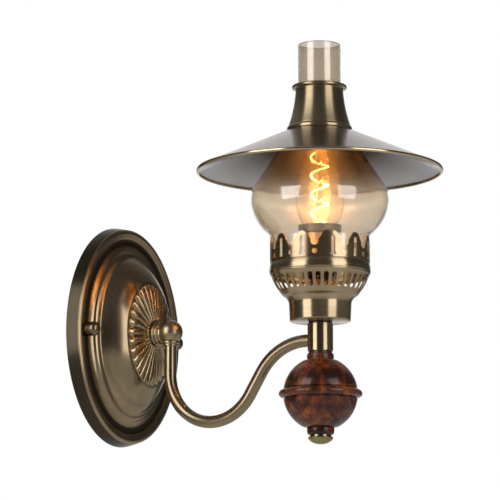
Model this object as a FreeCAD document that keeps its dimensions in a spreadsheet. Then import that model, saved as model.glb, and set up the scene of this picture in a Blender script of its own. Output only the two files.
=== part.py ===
"""A wall sconce in the manner of an oil lamp, as a parametric document.

Millimetres. The wall is the plane Y = 0 and the lamp stands out of it along -Y. +Z is up and the
origin is the centre of the wall plate's back, level with the ball that carries the arm. The upright
axis of the lamp is parallel to Z at Y = -lamp_reach. Heights along that axis are measured from the
underside of the burner cup, from the foot of the glass or from the tip of the bulb.
"""
import FreeCAD
import Part
import math
import os
import Sketcher

# Driving sizes in millimetres, with angles in degrees and counts as plain numbers
SIZES = {
    # Clearances and overruns
    "running_gap": 0.05,
    "seat_gap": 0.3,
    "cut_overrun": 2.0,
    # Place of the lamp's axis
    "lamp_reach": 235.0,
    # Oval wall plate: back edge, rim, cove, ogee ridge, dome and flat seat
    "plate_half_width": 86.0,
    "plate_half_height": 108.5,
    "plate_wall": 1.2,
    "plate_rim_depth": 13.0,
    "plate_rim_taper": 3.0,
    "plate_crest_inset": 3.2,
    "plate_crest_rise": 1.5,
    "plate_cove_inset": 12.5,
    "plate_cove_drop": 1.5,
    "plate_flank_inset": 21.2,
    "plate_flank_rise": 1.0,
    "plate_ridge_inset": 25.0,
    "plate_ridge_rise": 4.6,
    "plate_groove_inset": 28.5,
    "plate_groove_rise": 4.9,
    "plate_dome_inset": 37.5,
    "plate_dome_rise": 14.4,
    "plate_seat_half_width": 37.0,
    "plate_seat_half_height": 52.0,
    "plate_seat_rise": 24.5,
    "plate_stud_gap": 0.3,
    # Wall strap and its fasteners
    "strap_thickness": 2.0,
    "strap_height": 20.0,
    "strap_end_margin": 7.5,
    "strap_entry_radius": 7.0,
    "wall_slot_spacing": 100.0,
    "wall_slot_length": 12.0,
    "wall_slot_radius": 2.5,
    "stud_radius": 2.0,
    "cap_nut_radius": 6.95,
    "cap_nut_barrel": 5.4,
    "cap_nut_bore_depth": 7.5,
    "stud_grip": 6.5,
    "earth_screw_place": 22.0,
    "earth_screw_radius": 2.0,
    "earth_head_radius": 4.0,
    "earth_head_height": 2.4,
    "block_near": 15.0,
    "block_length": 18.0,
    "block_width": 17.0,
    "block_height": 11.0,
    "block_bore_radius": 1.3,
    "block_pitch": 5.2,
    "block_screw_radius": 1.4,
    "block_screw_height": 4.6,
    "block_lead_depth": 6.0,
    # Fluted rosette
    "rosette_half_width": 35.0,
    "rosette_half_height": 50.0,
    "rosette_wall": 0.8,
    "rosette_lip": 1.0,
    "rosette_scallop": 1.7,
    "rosette_relief": 2.5,
    "rosette_rise": 7.6,
    "rosette_disc_radius": 12.2,
    "flute_count": 30,
    # Collar, nipple and ball at the wall end of the arm
    "nipple_radius": 4.95,
    "nipple_bore_radius": 3.6,
    "nipple_tail": 2.0,
    "nut_height": 4.0,
    "nut_radius": 8.1,
    "washer_height": 1.2,
    "washer_radius": 8.8,
    "collar_waist_radius": 10.2,
    "collar_ring_radius": 12.0,
    "collar_front_ring_radius": 11.6,
    "collar_ring_width": 2.6,
    "collar_waist_width": 1.2,
    "collar_neck_radius": 9.0,
    "collar_length": 9.8,
    "ball_radius": 11.9,
    "ball_seat_offset": 7.4,
    "ball_cavity_radius": 7.3,
    # Bent arm
    "arm_radius": 6.0,
    "arm_bore_radius": 4.6,
    "arm_top_drop": 5.8,
    "arm_drop": 40.4,
    "arm_second_bend": 52.6,
    "arm_third_bend": 58.6,
    "arm_level_length": 6.7,
    "arm_slope": 57.0,
    # Stem and what hangs below it
    "stem_radius": 12.1,
    "stem_wall": 1.6,
    "stem_length": 27.8,
    "stem_neck_radius": 11.2,
    "stem_neck_length": 1.5,
    "arm_entry_depth": 16.7,
    "plug_height": 5.5,
    "tie_rod_radius": 3.0,
    "tie_rod_top": 1.5,
    "stem_washer_radius": 11.0,
    "stem_washer_height": 2.0,
    # Turned wooden ball
    "wood_radius": 35.2,
    "wood_bead_radius": 39.4,
    "wood_bead_height": 8.6,
    "wood_groove_height": 0.9,
    "wood_groove_depth": 0.7,
    "wood_collar_radius": 12.9,
    "wood_collar_height": 6.2,
    "wood_neck_radius": 12.4,
    "wood_shoulder_radius": 16.4,
    "wood_equator_drop": 38.0,
    "wood_foot_radius": 13.0,
    "wood_foot_height": 6.4,
    "wood_height": 76.6,
    "wood_bore_gap": 0.3,
    "finial_radius": 11.8,
    "finial_neck_radius": 10.2,
    "finial_neck_height": 1.4,
    "finial_edge_height": 1.3,
    "finial_height": 8.8,
    "finial_bore_depth": 5.6,
    # Burner cup
    "cup_underside": 1.9,
    "cup_wall": 0.9,
    "cup_foot_radius": 28.9,
    "cup_foot_corner": 1.7,
    "cup_waist_radius": 29.6,
    "cup_waist_height": 16.8,
    "cup_flare_radius": 35.2,
    "cup_flare_height": 24.6,
    "cup_shoulder_radius": 45.2,
    "cup_shoulder_height": 41.0,
    "cup_step_radius": 46.2,
    "cup_step_height": 43.2,
    "cup_bead_radius": 47.9,
    "cup_bead_height": 47.4,
    "cup_top_radius": 46.8,
    "cup_height": 55.6,
    "cup_slot_count": 36,
    "cup_slot_width": 4.6,
    "cup_slot_base": 29.2,
    "cup_slot_length": 12.5,
    "cup_washer_radius": 14.0,
    # Gallery crown, its drops measured from the tops of the arches
    "crown_overhang": 0.6,
    "crown_wall": 0.8,
    "crown_height": 80.0,
    "crown_spigot_depth": 6.0,
    "crown_ledge_width": 3.2,
    "crown_ledge_height": 1.0,
    "crown_unit_count": 12,
    "crown_pitch": 29.45,
    "crown_first_gap": 332.2,
    "crown_gap_width": 7.8,
    "crown_gap_drop": 13.8,
    "crown_arch_shoulder": 5.1,
    "crown_arch_shoulder_drop": 3.6,
    "crown_arch_side_drop": 7.8,
    "crown_hole_radius": 2.55,
    "crown_hole_drop": 19.4,
    "crown_slot_width": 4.0,
    "crown_slot_top_drop": 4.5,
    "crown_slot_bottom_drop": 22.6,
    "crown_slot_foot_width": 7.0,
    "crown_slot_foot_height": 3.8,
    # Lampholder, its heights measured from its own base
    "holder_base_height": 34.0,
    "holder_cap_height": 24.0,
    "holder_neck_radius": 9.0,
    "holder_neck_height": 6.0,
    "holder_dome_height": 14.0,
    "holder_radius": 17.6,
    "holder_wall": 1.8,
    "holder_height": 57.3,
    "holder_ring_radius": 20.4,
    "holder_ring_height": 9.2,
    "holder_ring_rise": 1.0,
    "holder_thread_length": 8.0,
    "insulator_height": 7.0,
    "shell_radius": 14.0,
    "shell_wall": 0.4,
    "shell_start": 1.2,
    "shell_pitch": 3.6,
    "shell_turn_count": 6,
    "contact_radius": 3.6,
    "contact_height": 1.2,
    "holder_screw_radius": 1.6,
    "holder_screw_height": 3.0,
    "holder_screw_offset": 9.0,
    # Leads
    "wire_radius": 0.8,
    "wire_spread": 1.3,
    "wire_ball_bend": 5.2,
    "wire_stem_bend": 7.0,
    # Bulb, its heights measured from the tip
    "bulb_tip_radius": 4.6,
    "bulb_tip_height": 1.4,
    "bulb_collet_radius": 11.6,
    "bulb_collet_start": 4.2,
    "bulb_collet_height": 7.5,
    "bulb_cap_radius": 12.75,
    "bulb_cap_start": 4.4,
    "bulb_cap_turn_count": 4,
    "bulb_cap_height": 24.0,
    "bulb_neck_radius": 11.8,
    "bulb_neck_depth": 8.0,
    "bulb_throat_radius": 16.9,
    "bulb_throat_height": 27.4,
    "bulb_radius": 23.0,
    "bulb_widest_height": 48.4,
    "bulb_shoulder_radius": 14.4,
    "bulb_shoulder_height": 96.0,
    "bulb_length": 107.4,
    "bulb_wall": 0.8,
    "mount_foot_start": 17.0,
    "mount_foot_height": 2.0,
    "mount_radius": 2.2,
    "mount_height": 92.5,
    "filament_radius": 0.45,
    "filament_coil_radius": 8.6,
    "filament_low": 32.0,
    "filament_pitch": 17.6,
    "filament_half_turn_count": 7,
    "filament_tail": 5.0,
    "return_wire_place": 4.2,
    "support_radius": 0.35,
    "lead_wire_radius": 0.5,
    # Glass chimney, its rises measured one from the other
    "glass_wall": 1.8,
    "glass_neck_gap": 1.0,
    "glass_neck_height": 20.5,
    "glass_throat_flare": 5.4,
    "glass_throat_rise": 8.5,
    "glass_globe_radius": 65.6,
    "glass_globe_rise": 29.5,
    "glass_shoulder_radius": 61.2,
    "glass_shoulder_rise": 15.7,
    "glass_cone_radius": 24.0,
    "glass_cone_rise": 55.6,
    "glass_tube_radius": 20.4,
    "glass_tube_blend": 8.7,
    "glass_tube_length": 71.5,
    # Shade brim and the collar on it
    "shade_wall": 0.9,
    "shade_hole_radius": 26.3,
    "shade_rim_radius": 116.0,
    "shade_slope_rise": 38.9,
    "shade_roll_radius": 1.3,
    "collar_base_radius": 30.9,
    "collar_base_height": 3.2,
    "collar_foot_radius": 29.6,
    "collar_foot_height": 5.0,
    "collar_top_radius": 22.7,
    "collar_lip_radius": 26.2,
    "collar_lip_height": 3.4,
    "collar_height": 44.0,
    "collar_wall": 0.9,
}

# How far an arc stands off its chord, as a share of the chord
QUARTER_SHARE = math.tan(math.radians(22.5)) / 2
FLARE_SHARE = 0.097
GENTLE_SHARE = 0.04
THREAD_SHARE = 0.2

doc = FreeCAD.newDocument("WallSconce")
sheet = doc.addObject("Spreadsheet::Sheet", "Sizes")
for row, (alias, number) in enumerate(SIZES.items(), start=1):
    sheet.set(f"A{row}", alias)
    sheet.set(f"B{row}", str(number))
    sheet.setAlias(f"B{row}", alias)
doc.recompute()


class Size:
    """A value together with the sheet expression that gives it."""

    def __init__(self, value, text):
        self.value = value
        self.text = text

    def __add__(self, other):
        other = sized(other)
        return Size(self.value + other.value, f"({self.text} + {other.text})")

    def __radd__(self, other):
        return sized(other) + self

    def __sub__(self, other):
        other = sized(other)
        return Size(self.value - other.value, f"({self.text} - {other.text})")

    def __rsub__(self, other):
        return sized(other) - self

    def __mul__(self, other):
        other = sized(other)
        return Size(self.value * other.value, f"({self.text} * {other.text})")

    def __rmul__(self, other):
        return sized(other) * self

    def __truediv__(self, other):
        other = sized(other)
        return Size(self.value / other.value, f"({self.text} / {other.text})")

    def __rtruediv__(self, other):
        return sized(other) / self

    def __neg__(self):
        return Size(-self.value, f"(0 - {self.text})")


def sized(value):
    """Give a plain number the form of a Size."""
    if isinstance(value, Size):
        return value
    return Size(float(value), f"({value!r})")


def root(size):
    """The square root of a Size."""
    return Size(math.sqrt(size.value), f"sqrt({size.text})")


def sine(size):
    """The sine of an angle in degrees."""
    return Size(math.sin(math.radians(size.value)), f"sin({size.text})")


def cosine(size):
    """The cosine of an angle in degrees."""
    return Size(math.cos(math.radians(size.value)), f"cos({size.text})")


def tangent(size):
    """The tangent of an angle in degrees."""
    return Size(math.tan(math.radians(size.value)), f"tan({size.text})")


def leg(long_side, short_side):
    """The other side of a right triangle."""
    return root(long_side * long_side - short_side * short_side)


def bow_of(start, end, radius):
    """The bow of an arc of a known radius between two points."""
    across = sized(end[0]) - start[0]
    up = sized(end[1]) - start[1]
    chord = root(across * across + up * up)
    return (radius - leg(radius, chord / 2)) / chord


def cap_bow(rim, apex):
    """The bow of an arc that starts at a rim and meets the axis squarely at an apex."""
    reach = sized(rim[0])
    rise = sized(apex[1]) - rim[1]
    height = root(rise * rise)
    return bow_of(rim, apex, (reach * reach + height * height) / (2 * height))


class Dimensions:
    """The cells of the sheet, each under its own name."""

    def __init__(self):
        for name in SIZES:
            setattr(self, name, Size(float(sheet.get(name)), f"Sizes.{name}"))


d = Dimensions()
nodes = {}


def keep(label, thing):
    """Give a finished sub-part its name."""
    thing.Label = label
    nodes[label] = thing
    return thing


def bind(thing, prop, size):
    """Tie a property to the sheet."""
    thing.setExpression(prop, sized(size).text)


def place(thing, x=0, y=0, z=0, turn=None):
    """Put a sub-part at its place, tied to the sheet."""
    spot = [sized(x), sized(y), sized(z)]
    rotation = turn or FreeCAD.Rotation()
    thing.Placement = FreeCAD.Placement(FreeCAD.Vector(*[size.value for size in spot]), rotation)
    for name, size in zip("xyz", spot):
        if size.value:
            bind(thing, f"Placement.Base.{name}", size)


# Turns that lay an upright primitive along Y or X
ALONG_MINUS_Y = FreeCAD.Rotation(FreeCAD.Vector(1, 0, 0), 90)
ALONG_X = FreeCAD.Rotation(FreeCAD.Vector(0, 1, 0), 90)


def origin_part(body, role):
    """A plane or axis of a body's own origin."""
    return next(item for item in body.Origin.OriginFeatures if item.Role == role)


def new_body(label):
    """An empty body under its node's name."""
    return keep(label, doc.addObject("PartDesign::Body", label))


def new_sketch(body, name, role):
    """An empty sketch on one of the body's origin planes."""
    sketch = body.newObject("Sketcher::SketchObject", name)
    sketch.AttachmentSupport = [(origin_part(body, role), "")]
    sketch.MapMode = "FlatFace"
    return sketch


def measure(sketch, kind, size, *where):
    """Add one dimension to a sketch and tie it to the sheet."""
    size = sized(size)
    index = sketch.addConstraint(Sketcher.Constraint(kind, *where, size.value))
    sketch.setExpression(f"Constraints[{index}]", size.text)


def fix_point(sketch, edge, end, across, up):
    """Hold one end of an edge at its place."""
    for kind, axis, size in (("DistanceX", -2, across), ("DistanceY", -1, up)):
        if isinstance(size, Size):
            measure(sketch, kind, size, -1, 1, edge, end)
        else:
            sketch.addConstraint(Sketcher.Constraint("PointOnObject", edge, end, axis))


def draw(sketch, outline, closed=True):
    """Draw an outline through points of (across, up) or (across, up, bow).

    A bow makes the edge that arrives at its point an arc. It is the share of the chord by which the
    arc stands off it, positive to the left of the way the outline runs. A zero lies on the axis.
    """
    count = len(outline)
    first = 0 if closed else 1
    ends = []
    for index in range(first, count):
        start = outline[index - 1]
        end = outline[index]
        bow = end[2] if len(end) == 3 else None
        a = FreeCAD.Vector(sized(start[0]).value, sized(start[1]).value, 0)
        b = FreeCAD.Vector(sized(end[0]).value, sized(end[1]).value, 0)
        if bow is None:
            edge = sketch.addGeometry(Part.LineSegment(a, b), False)
            ends.append((edge, 1, 2))
            continue
        bow = sized(bow)
        chord = b - a
        middle = (a + b) / 2 + FreeCAD.Vector(-chord.y, chord.x, 0) * bow.value
        edge = sketch.addGeometry(Part.Arc(a, middle, b), False)
        ends.append((edge, 2, 1) if bow.value > 0 else (edge, 1, 2))
    for index in range(len(ends) - (0 if closed else 1)):
        edge, _, last = ends[index]
        following, start, _ = ends[(index + 1) % len(ends)]
        sketch.addConstraint(Sketcher.Constraint("Coincident", edge, last, following, start))
    for index, (edge, start, last) in enumerate(ends):
        point = outline[index - 1 + first]
        fix_point(sketch, edge, start, point[0], point[1])
    if not closed:
        edge, _, last = ends[-1]
        fix_point(sketch, edge, last, outline[-1][0], outline[-1][1])
    for index, (edge, _, _) in enumerate(ends):
        start = outline[index - 1 + first]
        end = outline[index + first]
        if len(end) == 3:
            bow = sized(end[2])
            bow = bow if bow.value > 0 else -bow
            across = sized(end[0]) - start[0]
            up = sized(end[1]) - start[1]
            chord = root(across * across + up * up)
            measure(sketch, "Radius", chord * (1 / (8 * bow) + bow / 2), edge)


def turned(label, outline, role="XZ_Plane"):
    """A body turned about Z, or about Y where its outline lies in the XY plane."""
    body = new_body(label)
    sketch = new_sketch(body, f"{label}_outline", role)
    draw(sketch, outline)
    revolution = body.newObject("PartDesign::Revolution", f"{label}_turning")
    revolution.Profile = sketch
    revolution.ReferenceAxis = (sketch, ["V_Axis"])
    revolution.Angle = 360
    sketch.Visibility = False
    return body


def side_sketch(body, name, start, turn=None):
    """A sketch that faces the room, its plane a start out from the body's axis and turned about it."""
    sketch = new_sketch(body, f"{name}_outline", "XZ_Plane")
    out = FreeCAD.Vector(0, 0, start.value)
    about_z = FreeCAD.Vector(0, 1, 0)
    if turn is None:
        sketch.AttachmentOffset = FreeCAD.Placement(out, FreeCAD.Rotation())
        bind(sketch, "AttachmentOffset.Base.z", start)
        return sketch
    rotation = FreeCAD.Rotation(about_z, turn.value)
    sketch.AttachmentOffset = FreeCAD.Placement(rotation.multVec(out), rotation)
    bind(sketch, "AttachmentOffset.Rotation.Angle", turn)
    bind(sketch, "AttachmentOffset.Base.x", start * sine(turn))
    bind(sketch, "AttachmentOffset.Base.z", start * cosine(turn))
    return sketch


def pocket(body, name, sketch, start, reach):
    """Cut a sketch out through the wall, from its own plane to a reach from the axis."""
    cut = body.newObject("PartDesign::Pocket", name)
    cut.Profile = sketch
    cut.Length = (reach - start).value
    bind(cut, "Length", reach - start)
    cut.Reversed = True
    sketch.Visibility = False
    body.Tip = cut
    doc.recompute()
    return cut


def ring_pattern(body, name, originals, count, angle=None):
    """Repeat cuts round the body's Z axis."""
    doc.recompute()
    pattern = body.newObject("PartDesign::PolarPattern", name)
    pattern.Originals = originals
    pattern.Axis = (origin_part(body, "Z_Axis"), [""])
    pattern.Occurrences = int(count.value)
    bind(pattern, "Occurrences", count)
    if angle is None:
        pattern.Angle = 360
    else:
        pattern.Angle = angle.value
        bind(pattern, "Angle", angle)
    body.Tip = pattern
    return pattern


def cylinder(name, radius, height, **spot):
    """An upright cylinder, or one laid over by its turn."""
    solid = doc.addObject("Part::Cylinder", name)
    bind(solid, "Radius", radius)
    bind(solid, "Height", height)
    place(solid, **spot)
    return solid


def cut(label, base, *tools):
    """Take tools away from a base."""
    for index, tool in enumerate(tools):
        result = doc.addObject("Part::Cut", f"{label}_cut_{index}")
        result.Base = base
        result.Tool = tool
        base = result
    return base


def tube(label, radius, bore, height, **spot):
    """A plain tube or washer."""
    outer = cylinder(f"{label}_outer", radius, height, **spot)
    inner = cylinder(f"{label}_bore", bore, height, **spot)
    return keep(label, cut(label, outer, inner))


def hex_nut(label, radius, bore, height, **spot):
    """A hexagon nut with a plain bore."""
    prism = doc.addObject("Part::Prism", f"{label}_prism")
    prism.Polygon = 6
    bind(prism, "Circumradius", radius)
    bind(prism, "Height", height)
    place(prism, **spot)
    return keep(label, cut(label, prism, cylinder(f"{label}_bore", bore, height, **spot)))


def vector(*sizes):
    """A point from three sizes."""
    return FreeCAD.Vector(*[sized(size).value for size in sizes])


def bent_path(points, bends):
    """Straight runs joined by tangent arcs, one bend radius for each inner point."""
    edges = []
    start = points[0]
    for before, corner, after, bend in zip(points, points[1:], points[2:], bends):
        arriving = (corner - before).normalize()
        leaving = (after - corner).normalize()
        half_turn = arriving.getAngle(leaving) / 2
        reach = bend * math.tan(half_turn)
        first = corner - arriving * reach
        last = corner + leaving * reach
        inward = (leaving - arriving).normalize()
        middle = corner + inward * (bend / math.cos(half_turn) - bend)
        if start.distanceToPoint(first) > FreeCAD.Base.Precision.confusion():
            edges.append(Part.LineSegment(start, first).toShape())
        edges.append(Part.Arc(first, middle, last).toShape())
        start = last
    edges.append(Part.LineSegment(start, points[-1]).toShape())
    return Part.Wire(edges)


def least_gap(path, radius, apart):
    """The least gap of a wound wire to itself, between points of its path some length apart."""
    spacing = radius * 2
    points = path.discretize(Distance=spacing)
    skipped = math.ceil(apart / spacing)
    return min(one.distanceToPoint(other) for index, one in enumerate(points)
               for other in points[index + skipped:]) - radius * 2


def swept(label, path, radius):
    """A round wire or rod that follows a path."""
    start = path.OrderedVertexes[0].Point
    heading = path.OrderedEdges[0].tangentAt(path.OrderedEdges[0].FirstParameter)
    section = Part.Wire(Part.makeCircle(radius, start, heading))
    solid = path.makePipeShell([section], True, False)
    expected = math.pi * radius ** 2 * path.Length
    print(f"{label}: volume over section times length {solid.Volume / expected:.4f}")
    feature = doc.addObject("Part::Feature", label)
    feature.Shape = solid
    return feature


def oval_ring(name, half_width, half_height, depth):
    """One upright oval, a section of a stamped shell."""
    ring = doc.addObject("Part::Ellipse", name)
    bind(ring, "MajorRadius", half_height)
    bind(ring, "MinorRadius", half_width)
    upright = FreeCAD.Rotation(FreeCAD.Vector(0, 0, 1), FreeCAD.Vector(-1, 0, 0), FreeCAD.Vector(0, -1, 0))
    place(ring, y=-depth, turn=upright)
    return ring


def rounded_rings(outline):
    """Rings along an outline of (half width, half height, depth, bow, steps), each bend in small steps."""
    rings = [outline[0][:3]]
    for before, after in zip(outline, outline[1:]):
        width, height, depth, bow, steps = after
        across = [width - before[0], height - before[1]]
        out = depth - before[2]
        for step in range(1, steps):
            share = step / steps
            stand_off = bow * 4 * share * (1 - share)
            rings.append((before[0] + across[0] * share + out * stand_off,
                          before[1] + across[1] * share + out * stand_off,
                          before[2] + out * share - across[0] * stand_off))
        rings.append((width, height, depth))
    return rings


def oval_solid(name, rings):
    """A solid of ruled bands through ovals of (half width, half height, depth)."""
    loft = doc.addObject("Part::Loft", name)
    loft.Sections = [oval_ring(f"{name}_ring_{index}", *ring) for index, ring in enumerate(rings)]
    loft.Solid = True
    loft.Ruled = True
    return loft


def draw_circle(sketch, across, up, radius):
    """Draw one round hole or section."""
    centre = vector(across, up, 0)
    edge = sketch.addGeometry(Part.Circle(centre, FreeCAD.Vector(0, 0, 1), radius.value), False)
    fix_point(sketch, edge, 3, across, up)
    measure(sketch, "Radius", radius, edge)


# Levels along the lamp's axis and depths out from the wall, worked out from the sizes
cup_z = -d.cup_underside
stem_foot_z = cup_z - d.stem_length
wood_top_z = stem_foot_z - d.stem_washer_height
wood_foot_z = wood_top_z - d.wood_height
arm_exit_z = cup_z - d.arm_entry_depth
cup_floor_z = cup_z + d.cup_wall
crown_z = cup_z + d.cup_height
glass_z = crown_z + d.crown_ledge_height + d.seat_gap
holder_z = cup_z + d.holder_base_height
insulator_z = holder_z + d.holder_cap_height
shell_z = insulator_z + d.insulator_height
bulb_z = shell_z + d.contact_height + d.seat_gap
rim_half_width = d.plate_half_width - d.plate_rim_taper
rim_half_height = d.plate_half_height - d.plate_rim_taper
seat_depth = d.plate_rim_depth + d.plate_seat_rise
cap_nut_depth = d.plate_rim_depth + d.plate_flank_rise + d.seat_gap
cap_nut_place = rim_half_width - d.plate_flank_inset + d.cap_nut_radius
stud_hole_radius = d.stud_radius + d.running_gap
nipple_hole_radius = d.nipple_radius + d.running_gap
rosette_front = seat_depth + d.rosette_rise
collar_front = rosette_front + d.collar_length
ball_depth = collar_front + d.ball_seat_offset
cup_mouth_radius = d.cup_top_radius - d.cup_wall
crown_radius = d.cup_top_radius + d.crown_overhang
glass_neck_radius = crown_radius - d.crown_wall - d.glass_neck_gap
glass_throat_radius = glass_neck_radius + d.glass_throat_flare
axis_y = -d.lamp_reach
glass_cone_foot = d.glass_neck_height + d.glass_throat_rise + d.glass_globe_rise + d.glass_shoulder_rise
glass_cone_top = glass_cone_foot + d.glass_cone_rise
stem_inner_radius = d.stem_radius - d.stem_wall
arm_bends = d.arm_second_bend + d.arm_third_bend
arm_climb = arm_exit_z + d.arm_drop - arm_bends * (1 - cosine(d.arm_slope))
arm_lean = cosine(d.arm_slope) / sine(d.arm_slope)
arm_span = d.lamp_reach - stem_inner_radius - d.arm_level_length - ball_depth
arm_first_bend = (arm_span - arm_bends * sine(d.arm_slope) - arm_climb * arm_lean) / (arm_lean + 1)


def make_wall_plate():
    """The stamped oval shell with its rim, cove, ogee ridge and dome."""
    def front(inset, rise, bow, steps):
        return (rim_half_width - inset, rim_half_height - inset, d.plate_rim_depth + rise, bow, steps)

    side_share = 0.08
    crest_share = 0.14
    cove_share = 0.06
    ogee_share = 0.12
    dome_share = 0.035
    slope_share = 0.55
    outline = [
        (d.plate_half_width, d.plate_half_height, sized(0)),
        (rim_half_width, rim_half_height, d.plate_rim_depth, side_share, 6),
        front(d.plate_crest_inset, d.plate_crest_rise, crest_share, 5),
        front((d.plate_crest_inset + d.plate_cove_inset) * slope_share, sized(0), crest_share / 2, 4),
        front(d.plate_cove_inset, -d.plate_cove_drop, -cove_share, 4),
        front(d.plate_flank_inset, d.plate_flank_rise, -cove_share, 5),
        front(d.plate_ridge_inset, d.plate_ridge_rise, ogee_share, 5),
        front(d.plate_groove_inset, d.plate_groove_rise, -ogee_share, 4),
        front(d.plate_dome_inset, d.plate_dome_rise, dome_share, 4),
        (d.plate_seat_half_width, d.plate_seat_half_height, seat_depth, dome_share, 6),
    ]
    rings = rounded_rings(outline)
    wall = d.plate_wall
    side_count = outline[1][-1]
    inner = [(width - wall, height - wall, depth - (wall if index >= side_count else 0))
             for index, (width, height, depth) in enumerate(rings) if index != side_count - 1]
    inner[0] = (inner[0][0], inner[0][1], -d.cut_overrun)
    outside = oval_solid("plate_outside", rings)
    inside = oval_solid("plate_inside", inner)
    reach = seat_depth + d.cut_overrun
    tools = [cylinder(f"plate_stud_hole_{side}", d.stud_radius + d.plate_stud_gap, reach,
                      x=cap_nut_place * side, turn=ALONG_MINUS_Y) for side in (-1, 1)]
    tools.append(cylinder("plate_nipple_hole", nipple_hole_radius, reach, turn=ALONG_MINUS_Y))
    keep("wall_plate", cut("wall_plate", outside, inside, *tools))


def make_strap():
    """The flat bar on the wall with its entry hole, wall slots and threaded holes."""
    body = new_body("mounting_strap")
    sketch = new_sketch(body, "strap_outline", "XZ_Plane")
    half_length = cap_nut_place + d.strap_end_margin
    half_height = d.strap_height / 2
    draw(sketch, [(half_length, half_height), (-half_length, half_height),
                  (-half_length, -half_height), (half_length, -half_height)])
    half_slot = d.wall_slot_length / 2 - d.wall_slot_radius
    for side in (-1, 1):
        middle = d.wall_slot_spacing / 2 * side
        draw(sketch, [
            (middle + half_slot, -d.wall_slot_radius),
            (middle + half_slot + d.wall_slot_radius, 0, -QUARTER_SHARE),
            (middle + half_slot, d.wall_slot_radius, -QUARTER_SHARE),
            (middle - half_slot, d.wall_slot_radius),
            (middle - half_slot - d.wall_slot_radius, 0, -QUARTER_SHARE),
            (middle - half_slot, -d.wall_slot_radius, -QUARTER_SHARE)])
        draw_circle(sketch, cap_nut_place * side, 0, stud_hole_radius)
    draw_circle(sketch, 0, 0, d.strap_entry_radius)
    draw_circle(sketch, -d.earth_screw_place, 0, d.earth_screw_radius + d.running_gap)
    pad = body.newObject("PartDesign::Pad", "strap_bar")
    pad.Profile = sketch
    pad.Length = d.strap_thickness.value
    bind(pad, "Length", d.strap_thickness)
    sketch.Visibility = False


def make_strap_fittings():
    """Studs, earth screw and terminal block on the strap."""
    studs = doc.addObject("Part::Compound", "strap_studs")
    studs.Links = [cylinder(f"stud_{side}", d.stud_radius, cap_nut_depth + d.stud_grip,
                            x=cap_nut_place * side, turn=ALONG_MINUS_Y) for side in (-1, 1)]
    keep("strap_studs", studs)
    head_edge = (d.earth_head_radius, -(d.strap_thickness + d.earth_head_height / 2))
    head_top = (0, -(d.strap_thickness + d.earth_head_height))
    screw = turned("earth_screw", [
        (0, 0), (d.earth_screw_radius, 0),
        (d.earth_screw_radius, -d.strap_thickness),
        (d.earth_head_radius, -d.strap_thickness),
        head_edge,
        head_top + (cap_bow(head_edge, head_top),)], "XY_Plane")
    place(screw, x=-d.earth_screw_place)
    block = doc.addObject("Part::Box", "block_body")
    bind(block, "Length", d.block_length)
    bind(block, "Width", d.block_height)
    bind(block, "Height", d.block_width)
    place(block, x=d.block_near, y=-(d.strap_thickness + d.block_height), z=-d.block_width / 2)
    lead_depth = d.strap_thickness + d.block_height / 2
    poles = (-1, 0, 1)
    bores = [cylinder(f"block_bore_{pole}", d.block_bore_radius, d.block_length + d.cut_overrun * 2,
                      x=d.block_near - d.cut_overrun, y=-lead_depth, z=d.block_pitch * pole,
                      turn=ALONG_X) for pole in poles]
    screw_x = d.block_near + d.block_length / 2
    screw_y = -(d.strap_thickness + d.block_height - d.block_screw_height)
    holes = [cylinder(f"block_hole_{pole}", d.block_screw_radius + d.running_gap,
                      d.block_screw_height + d.cut_overrun, x=screw_x, y=screw_y,
                      z=d.block_pitch * pole, turn=ALONG_MINUS_Y) for pole in poles]
    keep("terminal_block", cut("terminal_block", block, *bores, *holes))
    screws = doc.addObject("Part::Compound", "block_screws")
    screws.Links = [cylinder(f"block_screw_{pole}", d.block_screw_radius,
                             d.block_screw_height - d.seat_gap, x=screw_x, y=screw_y,
                             z=d.block_pitch * pole, turn=ALONG_MINUS_Y) for pole in poles]
    keep("block_screws", screws)


def make_cap_nut(label, side):
    """A ball headed nut: a short barrel, a half ball and a blind bore."""
    radius = d.cap_nut_radius
    bore = stud_hole_radius
    nut = turned(label, [
        (bore, 0), (radius, 0), (radius, -d.cap_nut_barrel),
        (0, -(d.cap_nut_barrel + radius), QUARTER_SHARE),
        (0, -d.cap_nut_bore_depth), (bore, -d.cap_nut_bore_depth)], "XY_Plane")
    place(nut, x=cap_nut_place * side, y=-cap_nut_depth)


def scalloped_ring(half_width, half_height, depth, scallop, relief):
    """One closed ring of arcs round an upright oval, an arc for each flute."""
    count = int(d.flute_count.value)
    step = 2 * math.pi / count

    def point(angle, inset, rise):
        return FreeCAD.Vector((half_width.value - inset) * math.sin(angle), -(depth.value + rise),
                              (half_height.value - inset) * math.cos(angle))

    arcs = []
    for flute in range(count):
        angle = flute * step
        ends = [point(angle + side * step / 2, scallop.value, 0) for side in (-1, 1)]
        crest = point(angle, 0, relief.value)
        arcs.append(Part.Arc(ends[0], crest, ends[1]).toShape())
    return arcs


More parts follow.
